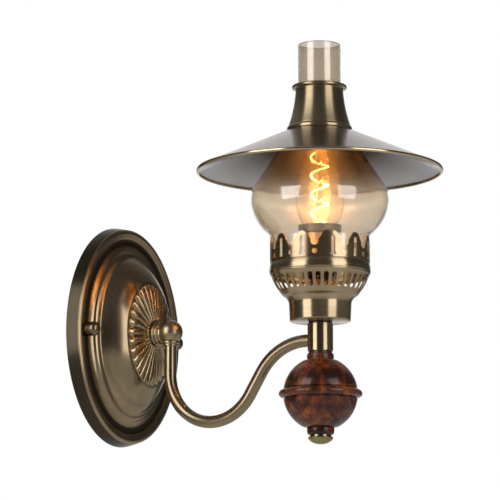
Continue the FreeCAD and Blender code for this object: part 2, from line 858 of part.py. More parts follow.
def make_rosette():
    """The fluted oval stamping, a thin shell of ruled bands between scalloped rings."""
    none = sized(0)
    wall = d.rosette_wall
    hole = nipple_hole_radius
    lip_depth = seat_depth + d.rosette_lip
    waist_share = 0.62
    waist_rise_share = 0.66
    waist_relief_share = 0.6
    waist_width = d.rosette_half_width * waist_share
    waist_height = d.rosette_half_height * waist_share
    waist_depth = seat_depth + d.rosette_rise * waist_rise_share - d.rosette_relief * waist_relief_share / 2
    outside = [
        (d.rosette_half_width, d.rosette_half_height, seat_depth, d.rosette_scallop, none),
        (d.rosette_half_width, d.rosette_half_height, lip_depth, d.rosette_scallop, d.rosette_relief),
        (waist_width, waist_height, waist_depth, none, d.rosette_relief * waist_relief_share),
        (d.rosette_disc_radius, d.rosette_disc_radius, rosette_front, none, none),
        (hole, hole, rosette_front, none, none),
    ]
    inside = [(width - wall, height - wall, depth - (0 if index == 0 else wall), scallop, relief)
              for index, (width, height, depth, scallop, relief) in enumerate(outside[:-1])]
    inside.append((hole, hole, rosette_front - wall, none, none))
    rings = [scalloped_ring(*ring) for ring in outside + inside[::-1]]
    faces = []
    for ring, following in zip(rings, rings[1:] + rings[:1]):
        faces += [Part.makeRuledSurface(a, b) for a, b in zip(ring, following)]
    shell = Part.Compound(faces)
    shell.sewShape()
    solid = Part.Solid(shell.Shells[0] if shell.Shells else Part.Shell(shell.Faces))
    if solid.Volume < 0:
        solid.reverse()
    feature = doc.addObject("Part::Feature", "rosette")
    feature.Shape = solid
    keep("rosette", feature)


def make_nipple_and_collar():
    """The hollow tube behind the ball with its nut, washer and turned collar."""
    seat_back = seat_depth - d.plate_wall
    washer_back = seat_back - d.washer_height
    nut_back = washer_back - d.nut_height
    tail = nut_back - d.nipple_tail
    cavity_reach = leg(d.ball_cavity_radius, d.nipple_radius)
    front = ball_depth - cavity_reach
    tube("entry_nipple", d.nipple_radius, d.nipple_bore_radius, front - tail, y=-tail, turn=ALONG_MINUS_Y)
    tube("lock_washer", d.washer_radius, nipple_hole_radius, d.washer_height, y=-washer_back,
         turn=ALONG_MINUS_Y)
    hex_nut("nipple_nut", d.nut_radius, nipple_hole_radius, d.nut_height, y=-nut_back, turn=ALONG_MINUS_Y)
    width = d.collar_ring_width
    waist = d.collar_waist_width
    neck = d.collar_length - width * 2 - waist * 2
    y = [rosette_front, rosette_front + waist, rosette_front + waist + width,
         rosette_front + waist * 2 + width, rosette_front + waist * 2 + width * 2]
    bead_share = 0.15
    turned("boss_collar", [
        (nipple_hole_radius, -y[0]), (d.collar_waist_radius, -y[0]),
        (d.collar_waist_radius, -y[1]),
        (d.collar_ring_radius, -(y[1] + width / 2), bead_share),
        (d.collar_waist_radius, -y[2], bead_share),
        (d.collar_waist_radius, -y[3]),
        (d.collar_front_ring_radius, -(y[3] + width / 2), bead_share),
        (d.collar_waist_radius, -y[4], bead_share),
        (d.collar_neck_radius, -(y[4] + neck / 2), -bead_share),
        (d.collar_neck_radius, -collar_front),
        (nipple_hole_radius, -collar_front)], "XY_Plane")


def make_arm_ball():
    """The drilled ball: a flat seat and bore at the back, a cavity, and a bore for the arm below."""
    radius = d.ball_radius
    cavity = d.ball_cavity_radius
    seat = (leg(radius, d.ball_seat_offset), -collar_front)
    side = (radius, -ball_depth)
    mouth = (nipple_hole_radius, -(ball_depth - leg(cavity, nipple_hole_radius)))
    inner_side = (cavity, -ball_depth)
    ball = turned("arm_ball", [
        (nipple_hole_radius, -collar_front), seat,
        side + (bow_of(seat, side, radius),),
        (0, -(ball_depth + radius), QUARTER_SHARE),
        (0, -(ball_depth + cavity)),
        inner_side + (-QUARTER_SHARE,),
        mouth + (-bow_of(inner_side, mouth, cavity),)], "XY_Plane")
    doc.recompute()
    sketch = new_sketch(ball, "arm_bore_outline", "XY_Plane")
    draw_circle(sketch, 0, -ball_depth, d.arm_radius + d.running_gap)
    bore = ball.newObject("PartDesign::Pocket", "arm_bore")
    bore.Profile = sketch
    bind(bore, "Length", radius + d.cut_overrun)
    ball.Tip = bore
    sketch.Visibility = False


def arm_points():
    """Corners of the arm's centreline as (depth from the wall, height), with its tangent arcs."""
    turn_bow = tangent(d.arm_slope / 4) / 2
    low_depth = ball_depth + arm_first_bend
    low_z = -d.arm_drop - arm_first_bend
    run = (arm_climb + arm_first_bend) / sine(d.arm_slope)
    rise_depth = low_depth + d.arm_second_bend * sine(d.arm_slope)
    rise_z = low_z + d.arm_second_bend * (1 - cosine(d.arm_slope))
    top_depth = rise_depth + run * cosine(d.arm_slope)
    top_z = rise_z + run * sine(d.arm_slope)
    level_depth = top_depth + d.arm_third_bend * sine(d.arm_slope)
    return [
        (-ball_depth, -d.arm_top_drop),
        (-ball_depth, -d.arm_drop),
        (-low_depth, low_z, QUARTER_SHARE),
        (-rise_depth, rise_z, turn_bow),
        (-top_depth, top_z),
        (-level_depth, arm_exit_z, -turn_bow),
        (axis_y + stem_inner_radius, arm_exit_z),
    ]


def make_arm():
    """The bent tube, its ring section swept along straight runs and tangent arcs."""
    body = new_body("arm_tube")
    section = new_sketch(body, "arm_section", "XY_Plane")
    bind(section, "AttachmentOffset.Base.z", -d.arm_top_drop)
    draw_circle(section, 0, -ball_depth, d.arm_radius)
    draw_circle(section, 0, -ball_depth, d.arm_bore_radius)
    path = new_sketch(body, "arm_path", "YZ_Plane")
    draw(path, arm_points(), closed=False)
    doc.recompute()
    pipe = body.newObject("PartDesign::AdditivePipe", "arm_sweep")
    pipe.Profile = section
    pipe.Spine = path
    body.Tip = pipe
    section.Visibility = False
    path.Visibility = False
    doc.recompute()
    area = math.pi * (d.arm_radius.value ** 2 - d.arm_bore_radius.value ** 2)
    swept = area * path.Shape.Length
    print(f"arm_tube: volume over section times length {body.Shape.Volume / swept:.4f}")


def make_stem():
    """The upright tube with its side hole, the two threaded inserts and the washer below."""
    stem = turned("stem_tube", [
        (stem_inner_radius, -d.stem_length), (d.stem_radius, -d.stem_length),
        (d.stem_radius, -d.stem_neck_length), (d.stem_neck_radius, -d.stem_neck_length),
        (d.stem_neck_radius, 0), (stem_inner_radius, 0)])
    doc.recompute()
    sketch = new_sketch(stem, "arm_hole_outline", "XZ_Plane")
    draw_circle(sketch, 0, -d.arm_entry_depth, d.arm_radius + d.running_gap)
    hole = stem.newObject("PartDesign::Pocket", "arm_hole")
    hole.Profile = sketch
    bind(hole, "Length", d.stem_radius + d.cut_overrun)
    stem.Tip = hole
    sketch.Visibility = False
    place(stem, y=axis_y, z=cup_z)
    plug_radius = stem_inner_radius - d.running_gap
    rod_hole = d.tie_rod_radius + d.running_gap
    tube("stem_top_plug", plug_radius, nipple_hole_radius, d.plug_height, y=axis_y, z=cup_z - d.plug_height)
    tube("stem_bottom_plug", plug_radius, rod_hole, d.plug_height, y=axis_y, z=stem_foot_z)
    tube("stem_washer", d.stem_washer_radius, rod_hole, d.stem_washer_height, y=axis_y, z=wood_top_z)
    rod_low = wood_foot_z - d.finial_bore_depth
    rod_high = stem_foot_z + d.plug_height + d.tie_rod_top
    rod = cylinder("tie_rod", d.tie_rod_radius, rod_high - rod_low, y=axis_y, z=rod_low)
    keep("tie_rod", rod)


def make_wood_ball():
    """The turned wood: collar, ball with a bead round its middle, and foot."""
    bore = d.tie_rod_radius + d.wood_bore_gap
    radius = d.wood_radius
    middle = -d.wood_equator_drop
    shoulder_rise = leg(radius, d.wood_shoulder_radius)
    groove_rise = d.wood_bead_height / 2 + d.wood_groove_height
    groove_edge = leg(radius, groove_rise)
    bead_foot = leg(radius, d.wood_bead_height / 2)
    top_shoulder = (d.wood_shoulder_radius, middle + shoulder_rise)
    top_edge = (groove_edge, middle + groove_rise)
    low_edge = (groove_edge, middle - groove_rise)
    low_shoulder = (d.wood_shoulder_radius, middle - shoulder_rise)
    foot_top = -(d.wood_height - d.wood_foot_height)
    bead_share = 0.17
    wood = turned("wood_ball", [
        (bore, 0), (d.wood_neck_radius, 0),
        (d.wood_collar_radius, -d.wood_collar_height / 2, bead_share),
        (d.wood_neck_radius, -d.wood_collar_height, bead_share),
        top_shoulder,
        top_edge + (bow_of(top_shoulder, top_edge, radius),),
        (bead_foot - d.wood_groove_depth, middle + d.wood_bead_height / 2),
        (d.wood_bead_radius, middle, bead_share),
        (bead_foot - d.wood_groove_depth, middle - d.wood_bead_height / 2, bead_share),
        low_edge,
        low_shoulder + (bow_of(low_edge, low_shoulder, radius),),
        (d.wood_neck_radius, foot_top),
        (d.wood_foot_radius, foot_top - d.wood_foot_height / 2, bead_share),
        (d.wood_neck_radius, -d.wood_height, bead_share),
        (bore, -d.wood_height)])
    place(wood, y=axis_y, z=wood_top_z)


def make_finial():
    """The brass button that closes the rod below the wood."""
    bore = d.tie_rod_radius + d.running_gap
    neck = -d.finial_neck_height
    edge = (d.finial_radius, neck - d.finial_edge_height)
    foot = (0, -d.finial_height)
    finial = turned("finial", [
        (bore, 0), (d.finial_neck_radius, 0), (d.finial_neck_radius, neck),
        edge + (QUARTER_SHARE,),
        foot + (cap_bow(edge, foot),),
        (0, -(d.finial_bore_depth + d.seat_gap)),
        (bore, -(d.finial_bore_depth + d.seat_gap))])
    place(finial, y=axis_y, z=wood_foot_z - d.seat_gap)


def make_burner_cup():
    """The spun cup with its ring of slots and the bead at its mouth."""
    wall = d.cup_wall
    corner = d.cup_foot_corner
    outside = [
        (nipple_hole_radius, 0),
        (d.cup_foot_radius - corner, 0),
        (d.cup_foot_radius, corner, -QUARTER_SHARE),
        (d.cup_waist_radius, d.cup_waist_height),
        (d.cup_flare_radius, d.cup_flare_height, FLARE_SHARE),
        (d.cup_shoulder_radius, d.cup_shoulder_height, -GENTLE_SHARE),
        (d.cup_step_radius, d.cup_step_height),
        (d.cup_bead_radius, d.cup_bead_height, -QUARTER_SHARE),
        (d.cup_top_radius, d.cup_height, -GENTLE_SHARE),
    ]
    inside = [
        (cup_mouth_radius, d.cup_height),
        (d.cup_bead_radius - wall, d.cup_bead_height, GENTLE_SHARE),
        (d.cup_step_radius - wall, d.cup_step_height, QUARTER_SHARE),
        (d.cup_shoulder_radius - wall, d.cup_shoulder_height),
        (d.cup_flare_radius - wall, d.cup_flare_height, GENTLE_SHARE),
        (d.cup_waist_radius - wall, d.cup_waist_height, -FLARE_SHARE),
        (d.cup_foot_radius - wall, corner),
        (d.cup_foot_radius - corner, wall, QUARTER_SHARE),
        (nipple_hole_radius, wall),
    ]
    cup = turned("burner_cup", outside + inside)
    half = d.cup_slot_width / 2
    low = d.cup_slot_base + half
    high = d.cup_slot_base + d.cup_slot_length - half
    sketch = side_sketch(cup, "cup_slot", d.cup_waist_radius)
    draw(sketch, [
        (half, low, -QUARTER_SHARE), (half, high), (0, high + half, -QUARTER_SHARE),
        (-half, high, -QUARTER_SHARE), (-half, low), (0, low - half, -QUARTER_SHARE)])
    slot = pocket(cup, "cup_slot", sketch, d.cup_waist_radius, d.cup_bead_radius + d.cut_overrun)
    ring_pattern(cup, "cup_slots", [slot], d.cup_slot_count)
    place(cup, y=axis_y, z=cup_z)
    tube("cup_washer", d.cup_washer_radius, nipple_hole_radius, d.washer_height, y=axis_y, z=cup_floor_z)
    hex_nut("cup_nut", d.nut_radius, nipple_hole_radius, d.nut_height, y=axis_y,
            z=cup_floor_z + d.washer_height)


def make_crown():
    """The punched strip: arches with a slot in each, and a gap and a hole between them."""
    radius = crown_radius
    inner = radius - d.crown_wall
    top = d.crown_height - d.cup_height
    ledge = inner - d.crown_ledge_width
    spigot = cup_mouth_radius - d.running_gap
    crown = turned("gallery_crown", [
        (spigot - d.crown_wall, -d.crown_spigot_depth), (spigot, -d.crown_spigot_depth), (spigot, 0),
        (radius, 0), (radius, top), (inner, top), (inner, d.crown_ledge_height),
        (ledge, d.crown_ledge_height), (ledge, 0), (spigot - d.crown_wall, 0)])
    reach = radius + d.cut_overrun
    half_gap = d.crown_gap_width / 2
    arch_half = radius * sine(d.crown_pitch / 2)
    side_z = top - d.crown_arch_side_drop
    shoulder = (arch_half - d.crown_arch_shoulder, top - d.crown_arch_shoulder_drop)
    bottom = top - d.crown_gap_drop
    arch_share = 0.15
    above = top + d.cut_overrun
    start = ledge - d.cut_overrun
    sketch = side_sketch(crown, "crown_gap", start)
    draw(sketch, [
        (0, bottom, -QUARTER_SHARE), (half_gap, bottom + half_gap, -QUARTER_SHARE), (half_gap, side_z),
        shoulder, (arch_half, top, arch_share), (arch_half, above), (-arch_half, above),
        (-arch_half, top), (-shoulder[0], shoulder[1], arch_share), (-half_gap, side_z),
        (-half_gap, bottom + half_gap)])
    gap = pocket(crown, "crown_gap", sketch, start, reach)
    sketch = side_sketch(crown, "crown_hole", start)
    draw_circle(sketch, 0, top - d.crown_hole_drop, d.crown_hole_radius)
    hole = pocket(crown, "crown_hole", sketch, start, reach)
    half = d.crown_slot_width / 2
    foot = d.crown_slot_foot_width / 2
    high = top - d.crown_slot_top_drop - half
    low = top - d.crown_slot_bottom_drop
    sketch = side_sketch(crown, "crown_slot", start, -d.crown_pitch / 2)
    draw(sketch, [
        (foot, low), (half, low + d.crown_slot_foot_height, FLARE_SHARE), (half, high),
        (0, high + half, -QUARTER_SHARE), (-half, high, -QUARTER_SHARE),
        (-half, low + d.crown_slot_foot_height), (-foot, low, FLARE_SHARE)])
    slot = pocket(crown, "crown_slot", sketch, start, reach)
    span = d.crown_pitch * (d.crown_unit_count - 1)
    ring_pattern(crown, "crown_units", [gap, hole, slot], d.crown_unit_count, span)
    place(crown, y=axis_y, z=crown_z,
          turn=FreeCAD.Rotation(FreeCAD.Vector(0, 0, 1), d.crown_first_gap.value))
    bind(crown, "Placement.Rotation.Angle", d.crown_first_gap)


def wavy_wall(radius, wall, start, turns):
    """The outline of a rolled screw shell: a straight foot, then a wave for each turn."""
    count = int(turns.value) * 2
    step = d.shell_pitch / 2
    up = [(radius - wall, start), (radius, start)]
    base = start + d.shell_start
    up.append((radius, base))
    side = -THREAD_SHARE
    for index in range(1, count + 1):
        up.append((radius, base + step * index, side))
        side = -side
    down = [(radius - wall, base + step * count)]
    side = -side
    for index in range(count - 1, -1, -1):
        down.append((radius - wall, base + step * index, -side))
        side = -side
    return up, down


def make_lampholder():
    """Nipple, casing, ring, insulator, screw shell, contact and screws of the lampholder."""
    radius = d.holder_radius
    inner = radius - d.holder_wall
    nipple_low = cup_z - d.plug_height
    tube("holder_nipple", d.nipple_radius, d.nipple_bore_radius,
         holder_z + d.holder_thread_length - nipple_low, y=axis_y, z=nipple_low)
    wall = d.holder_wall
    cap = turned("holder_cap", [
        (nipple_hole_radius, 0), (d.holder_neck_radius, 0), (d.holder_neck_radius, d.holder_neck_height),
        (radius, d.holder_dome_height, -GENTLE_SHARE * 3), (radius, d.holder_cap_height),
        (inner, d.holder_cap_height), (inner, d.holder_dome_height + wall),
        (d.holder_neck_radius - wall, d.holder_thread_length, GENTLE_SHARE * 3),
        (nipple_hole_radius, d.holder_thread_length)])
    place(cap, y=axis_y, z=holder_z)
    tube("holder_body", radius, inner, d.holder_height - d.holder_cap_height, y=axis_y, z=insulator_z)
    ring_z = holder_z + d.holder_height + d.holder_ring_rise - d.holder_ring_height
    tube("holder_ring", d.holder_ring_radius, radius + d.running_gap, d.holder_ring_height,
         y=axis_y, z=ring_z)
    keep("holder_insulator", cylinder("holder_insulator", inner - d.running_gap, d.insulator_height,
                                      y=axis_y, z=insulator_z))
    up, down = wavy_wall(d.shell_radius, d.shell_wall, sized(0), d.shell_turn_count)
    place(turned("screw_shell", up + down), y=axis_y, z=shell_z)
    keep("centre_contact", cylinder("centre_contact", d.contact_radius, d.contact_height,
                                    y=axis_y, z=shell_z))
    screws = doc.addObject("Part::Compound", "terminal_screws")
    screws.Links = [cylinder(f"terminal_screw_{side}", d.holder_screw_radius, d.holder_screw_height,
                             x=d.holder_screw_offset * side, y=axis_y,
                             z=insulator_z - d.holder_screw_height) for side in (-1, 1)]
    keep("terminal_screws", screws)


def make_leads():
    """Two leads from the block through the arm to the lampholder, and one to the earth screw."""
    lead_depth = d.strap_thickness + d.block_height / 2
    start_x = d.block_near + d.block_lead_depth
    curve_x = d.block_near * 0.3
    gather_share = 0.72
    gather_depth = (seat_depth - d.plate_wall - d.washer_height - d.nut_height) * gather_share
    screw_z = insulator_z - d.holder_screw_height
    fan_share = 0.35
    mouth_z = holder_z + d.holder_thread_length
    fan_low = mouth_z + (screw_z - mouth_z) * fan_share / 2
    fan_high = screw_z - (screw_z - mouth_z) * fan_share
    soft_bend = d.wire_radius * 4
    for label, side in (("live_wire", 1), ("neutral_wire", -1)):
        x = d.wire_spread * side
        pole_z = d.block_pitch * (side + 1) / 2
        turn_x = curve_x + x
        arm = arm_points()
        points = [
            vector(start_x, -lead_depth, pole_z), vector(turn_x, -lead_depth, pole_z),
            vector(x, -gather_depth, 0), vector(x, -ball_depth, 0),
        ]
        bends = [soft_bend.value, soft_bend.value, d.wire_ball_bend.value]
        corners, radii = arm_corners()
        points += [FreeCAD.Vector(x.value, depth, height) for depth, height in corners]
        bends += radii
        points += [vector(x, axis_y, arm_exit_z), vector(x, axis_y, fan_low),
                   vector(d.holder_screw_offset * side, axis_y, fan_high),
                   vector(d.holder_screw_offset * side, axis_y, screw_z)]
        bends += [d.wire_stem_bend.value, soft_bend.value, soft_bend.value]
        keep(label, swept(label, bent_path(points, bends), d.wire_radius.value))
    head_y = -(d.strap_thickness + d.earth_head_height + d.wire_radius)
    points = [vector(start_x, -lead_depth, -d.block_pitch),
              vector(curve_x, -lead_depth, -d.block_pitch),
              vector(-curve_x, -lead_depth, -d.block_pitch * 1.6),
              vector(-d.earth_screw_place + d.earth_head_radius * 2, head_y, -d.block_pitch / 2),
              vector(-d.earth_screw_place - d.earth_head_radius / 2, head_y, 0)]
    bends = [soft_bend.value] * 3
    keep("earth_wire", swept("earth_wire", bent_path(points, bends), d.wire_radius.value))


def arm_corners():
    """Where the arm's straight runs would meet, with the bend at each corner."""
    low_z = -d.arm_drop.value - arm_first_bend.value
    depth = ball_depth.value
    points = arm_points()
    slope = math.radians(d.arm_slope.value)
    rise = points[3]
    top = points[4]
    first = (-depth, low_z)
    reach = d.arm_second_bend.value * math.tan(slope / 2)
    second = (rise[0].value + reach * math.cos(slope), rise[1].value - reach * math.sin(slope))
    reach = d.arm_third_bend.value * math.tan(slope / 2)
    third = (top[0].value - reach * math.cos(slope), top[1].value + reach * math.sin(slope))
    bends = [arm_first_bend.value, d.arm_second_bend.value, d.arm_third_bend.value]
    return [first, second, third], bends


def make_bulb():
    """The lamp bulb: cap, collet, contact, envelope, glass mount, supports and filament."""
    up, down = wavy_wall(d.bulb_cap_radius, d.shell_wall, d.bulb_cap_start, d.bulb_cap_turn_count)
    rim = [(d.bulb_cap_radius, d.bulb_cap_height), (d.bulb_cap_radius - d.shell_wall, d.bulb_cap_height)]
    place(turned("bulb_cap", up + rim + down), y=axis_y, z=bulb_z)
    collet = turned("bulb_insulator", [
        (0, d.bulb_tip_height), (d.bulb_tip_radius, d.bulb_tip_height),
        (d.bulb_collet_radius, d.bulb_collet_start),
        (d.bulb_collet_radius, d.bulb_collet_height), (0, d.bulb_collet_height)])
    place(collet, y=axis_y, z=bulb_z)
    tip = (0, 0)
    tip_edge = (d.bulb_tip_radius, d.bulb_tip_height)
    contact = turned("bulb_contact", [
        tip, tip_edge + (cap_bow(tip_edge, tip),), (0, d.bulb_tip_height)])
    place(contact, y=axis_y, z=bulb_z)
    wall = d.bulb_wall
    neck_low = d.bulb_cap_height - d.bulb_neck_depth
    neck_share = 0.1
    side_share = 0.06
    shoulder = (d.bulb_shoulder_radius, d.bulb_shoulder_height)
    apex = (0, d.bulb_length)
    inner_shoulder = (d.bulb_shoulder_radius - wall, d.bulb_shoulder_height)
    inner_apex = (0, d.bulb_length - wall)
    envelope = turned("bulb_envelope", [
        (d.bulb_neck_radius - wall, neck_low), (d.bulb_neck_radius, neck_low),
        (d.bulb_neck_radius, d.bulb_cap_height),
        (d.bulb_throat_radius, d.bulb_throat_height, neck_share / 2),
        (d.bulb_radius, d.bulb_widest_height, -neck_share),
        shoulder + (-side_share,),
        apex + (-cap_bow(shoulder, apex),),
        inner_apex,
        inner_shoulder + (cap_bow(inner_shoulder, inner_apex),),
        (d.bulb_radius - wall, d.bulb_widest_height, side_share),
        (d.bulb_throat_radius - wall, d.bulb_throat_height, neck_share),
        (d.bulb_neck_radius - wall, d.bulb_cap_height, -neck_share / 2)])
    place(envelope, y=axis_y, z=bulb_z)
    foot_top = d.mount_foot_start + d.mount_foot_height
    foot_radius = d.bulb_neck_radius - wall - d.running_gap
    mount = turned("filament_stem", [
        (0, d.mount_foot_start), (foot_radius, d.mount_foot_start), (foot_radius, foot_top),
        (d.mount_radius, foot_top), (d.mount_radius, d.mount_height), (0, d.mount_height)])
    place(mount, y=axis_y, z=bulb_z)
    make_filament(foot_top)


def make_filament(foot_top):
    """The coil of lit filament, its pegs on the glass rod and the two lead-in wires."""
    half_turns = int(d.filament_half_turn_count.value)
    corners = 4
    step = math.pi / corners
    coil_radius = d.filament_coil_radius.value
    low = (bulb_z + d.filament_low).value
    rise = d.filament_pitch.value / (2 * corners)
    foot_z = (bulb_z + foot_top).value
    gap = d.running_gap.value

    def spot(index, away):
        angle = step * index
        across = away * math.cos(angle)
        along = axis_y.value + away * math.sin(angle)
        return FreeCAD.Vector(across, along, low + rise * index)

    count = half_turns * corners
    first = spot(0, coil_radius) - FreeCAD.Vector(0, 0, d.filament_tail.value)
    return_place = d.return_wire_place.value
    last = spot(count, return_place + d.lead_wire_radius.value + gap)
    points = [first] + [spot(index, coil_radius) for index in range(count + 1)] + [last]
    bends = []
    for before, corner, after in zip(points, points[1:], points[2:]):
        half_turn = (corner - before).getAngle(after - corner) / 2
        shorter = min((corner - before).Length, (after - corner).Length)
        bends.append(shorter / 2 / math.tan(half_turn))
    path = bent_path(points, bends)
    wire = d.filament_radius.value
    print(f"filament: least gap to itself {least_gap(path, wire, math.pi * coil_radius):.1f} mm")
    keep("filament", swept("filament", path, wire))
    solids = []
    lead_radius = d.lead_wire_radius.value
    leads = ((spot(0, coil_radius), first.z), (spot(count, return_place), last.z + wire))
    for place_on_foot, lead_top in leads:
        base = FreeCAD.Vector(place_on_foot.x, place_on_foot.y, foot_z)
        solids.append(Part.makeCylinder(lead_radius, lead_top - foot_z, base))
    start = d.mount_radius.value + gap
    peg_length = coil_radius * math.cos(step / 2) - wire - gap - start
    peg_share = 0.5
    for half in range(half_turns):
        base = spot(corners * (half + peg_share) + peg_share, start)
        outward = base - FreeCAD.Vector(0, axis_y.value, base.z)
        solids.append(Part.makeCylinder(d.support_radius.value, peg_length, base, outward))
    feature = doc.addObject("Part::Feature", "filament_supports")
    feature.Shape = Part.Compound(solids)
    keep("filament_supports", feature)


def make_chimney():
    """The blown glass: neck in the crown, globe, sloping shoulder and straight tube."""
    wall = d.glass_wall
    cone_share = 0.074
    throat = d.glass_neck_height + d.glass_throat_rise
    globe = throat + d.glass_globe_rise
    tube_foot = glass_cone_top + d.glass_tube_blend
    height = tube_foot + d.glass_tube_length
    outside = [
        (glass_neck_radius, 0), (glass_neck_radius, d.glass_neck_height),
        (glass_throat_radius, throat, FLARE_SHARE),
        (d.glass_globe_radius, globe, -FLARE_SHARE),
        (d.glass_shoulder_radius, glass_cone_foot, -cone_share),
        (d.glass_cone_radius, glass_cone_top),
        (d.glass_tube_radius, tube_foot, cone_share),
        (d.glass_tube_radius, height),
    ]
    inside = [
        (d.glass_tube_radius - wall, height), (d.glass_tube_radius - wall, tube_foot),
        (d.glass_cone_radius - wall, glass_cone_top, -cone_share),
        (d.glass_shoulder_radius - wall, glass_cone_foot),
        (d.glass_globe_radius - wall, globe, cone_share),
        (glass_throat_radius - wall, throat, FLARE_SHARE),
        (glass_neck_radius - wall, d.glass_neck_height, -FLARE_SHARE),
        (glass_neck_radius - wall, 0),
    ]
    place(turned("chimney", outside + inside), y=axis_y, z=glass_z)


def make_shade():
    """The spun brim with its wired rim, and the collar that stands on it."""
    wall = d.shade_wall
    cone_run = d.glass_shoulder_radius - d.glass_cone_radius
    seat_drop = (d.shade_hole_radius - d.glass_cone_radius) * d.glass_cone_rise / cone_run
    seat_height = glass_cone_top - seat_drop
    hole_z = glass_z + seat_height + d.seat_gap * 2
    fall = d.shade_slope_rise
    roll = d.shade_roll_radius
    rim = d.shade_rim_radius
    rim_middle = -fall - roll / 2
    roll_share = 0.25
    brim = turned("shade_brim", [
        (d.shade_hole_radius, 0), (rim - roll, -fall),
        (rim - roll, rim_middle - roll, -roll_share * 0.4),
        (rim, rim_middle - roll * 1.2, -QUARTER_SHARE * 0.9),
        (rim + roll, rim_middle, -QUARTER_SHARE),
        (rim, rim_middle + roll * 1.2, -QUARTER_SHARE),
        (rim - roll * 0.9, rim_middle + roll * 0.5 + wall, -0.05),
        (d.shade_hole_radius, wall)])
    place(brim, y=axis_y, z=hole_z)
    slope = fall / (rim - roll - d.shade_hole_radius)
    base_inner = d.collar_base_radius - d.collar_wall
    collar_z = hole_z + wall - (base_inner - d.shade_hole_radius) * slope + d.running_gap
    thick = d.collar_wall
    lip = d.collar_lip_height
    band_share = 0.12
    waist_share = 0.035
    lip_share = 0.17
    top = d.collar_height
    neck_z = top - lip
    collar = turned("shade_collar", [
        (base_inner, 0), (d.collar_base_radius, 0),
        (d.collar_base_radius, d.collar_base_height, -band_share),
        (d.collar_foot_radius, d.collar_foot_height, FLARE_SHARE),
        (d.collar_top_radius, neck_z, waist_share),
        (d.collar_lip_radius, neck_z + lip / 2, -lip_share),
        (d.collar_top_radius, top, -lip_share),
        (d.collar_top_radius - thick, top),
        (d.collar_top_radius - thick, neck_z),
        (d.collar_foot_radius - thick, d.collar_foot_height, -waist_share),
        (base_inner, d.collar_base_height)])
    place(collar, y=axis_y, z=collar_z)


def write_steps():
    """Check every object, then write each sub-part to its own file."""
    doc.recompute()
    for thing in doc.Objects:
        if "Invalid" in thing.State or "Error" in thing.State:
            raise RuntimeError(f"{thing.Label} failed: {thing.State}")
    for label, thing in nodes.items():
        shape = thing.Shape
        if shape.isNull() or not shape.isValid() or not shape.Solids:
            raise RuntimeError(f"{label} has no valid solid")
    os.makedirs("parts", exist_ok=True)
    for label, thing in nodes.items():
        thing.Shape.exportStep(f"parts/{label}.step")
        box = thing.Shape.BoundBox
        print(f"{label}: {len(thing.Shape.Solids)} solids, {thing.Shape.Volume:.0f} mm3, "
              f"x {box.XMin:.1f} {box.XMax:.1f}, y {box.YMin:.1f} {box.YMax:.1f}, "
              f"z {box.ZMin:.1f} {box.ZMax:.1f}")


make_wall_plate()
make_strap()
make_strap_fittings()
make_cap_nut("left_cap_nut", -1)
make_cap_nut("right_cap_nut", 1)
make_rosette()
make_nipple_and_collar()
make_arm_ball()
make_arm()
make_stem()
make_wood_ball()
make_finial()
make_burner_cup()
make_crown()
make_lampholder()
make_leads()
make_bulb()
make_chimney()
make_shade()
write_steps()
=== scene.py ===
"""Looks of an oil lamp style wall sconce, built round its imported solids.

Metres, in the frame of the solids: the wall is the plane Y = 0, the lamp stands out of it along -Y,
and Z is up. Outlines and rings are in millimetres. Turned pieces are spun about the upright axis of
the lamp, or about a level axis where they stand on the wall plate.
"""
import math
from functools import partial

import bpy
from bpy.props import FloatProperty, FloatVectorProperty, IntProperty, PointerProperty
from mathutils import Matrix, Vector


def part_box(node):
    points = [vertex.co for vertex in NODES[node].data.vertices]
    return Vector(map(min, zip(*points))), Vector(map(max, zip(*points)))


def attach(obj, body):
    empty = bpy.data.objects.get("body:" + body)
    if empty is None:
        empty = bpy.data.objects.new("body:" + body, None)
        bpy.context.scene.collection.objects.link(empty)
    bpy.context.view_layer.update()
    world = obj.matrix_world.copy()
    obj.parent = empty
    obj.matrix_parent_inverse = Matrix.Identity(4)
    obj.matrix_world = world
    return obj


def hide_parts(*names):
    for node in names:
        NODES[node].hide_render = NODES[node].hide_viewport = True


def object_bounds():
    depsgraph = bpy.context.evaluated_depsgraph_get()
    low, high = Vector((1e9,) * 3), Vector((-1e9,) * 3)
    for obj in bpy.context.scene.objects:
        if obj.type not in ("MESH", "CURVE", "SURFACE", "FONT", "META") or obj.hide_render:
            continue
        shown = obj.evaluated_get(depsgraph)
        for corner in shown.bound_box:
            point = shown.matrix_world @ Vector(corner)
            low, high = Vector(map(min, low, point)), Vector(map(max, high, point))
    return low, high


bl_info = {
    "name": "Oil Lamp Wall Sconce",
    "version": (1, 0, 0),
    "blender": (4, 5, 0),
    "location": "View3D > Sidebar > Sconce",
    "description": "Builds the visible pieces and finishes of a wall sconce round its solids",
    "category": "Add Mesh",
}

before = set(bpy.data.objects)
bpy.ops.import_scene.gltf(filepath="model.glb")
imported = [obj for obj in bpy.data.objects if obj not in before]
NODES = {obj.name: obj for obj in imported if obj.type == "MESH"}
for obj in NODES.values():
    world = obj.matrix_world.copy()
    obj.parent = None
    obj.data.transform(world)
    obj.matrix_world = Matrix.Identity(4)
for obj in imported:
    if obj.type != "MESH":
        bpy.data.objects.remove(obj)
CAD_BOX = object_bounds()
MM = 0.001

LAMP_LOW, LAMP_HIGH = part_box("stem_tube")
AXIS = Vector(((LAMP_LOW.x + LAMP_HIGH.x) / 2, (LAMP_LOW.y + LAMP_HIGH.y) / 2, 0))
UP = Vector((0, 0, 1))
OUT = Vector((0, -1, 0))
ACROSS = Vector((1, 0, 0))

# The bow of a quarter circle that bulges to the right of its run, and the longest turn of one short run
QUARTER = -math.tan(math.radians(22.5)) / 2
LONGEST_TURN = 0.16


def foot(node):
    """The height of a node's lowest point."""
    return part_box(node)[0].z


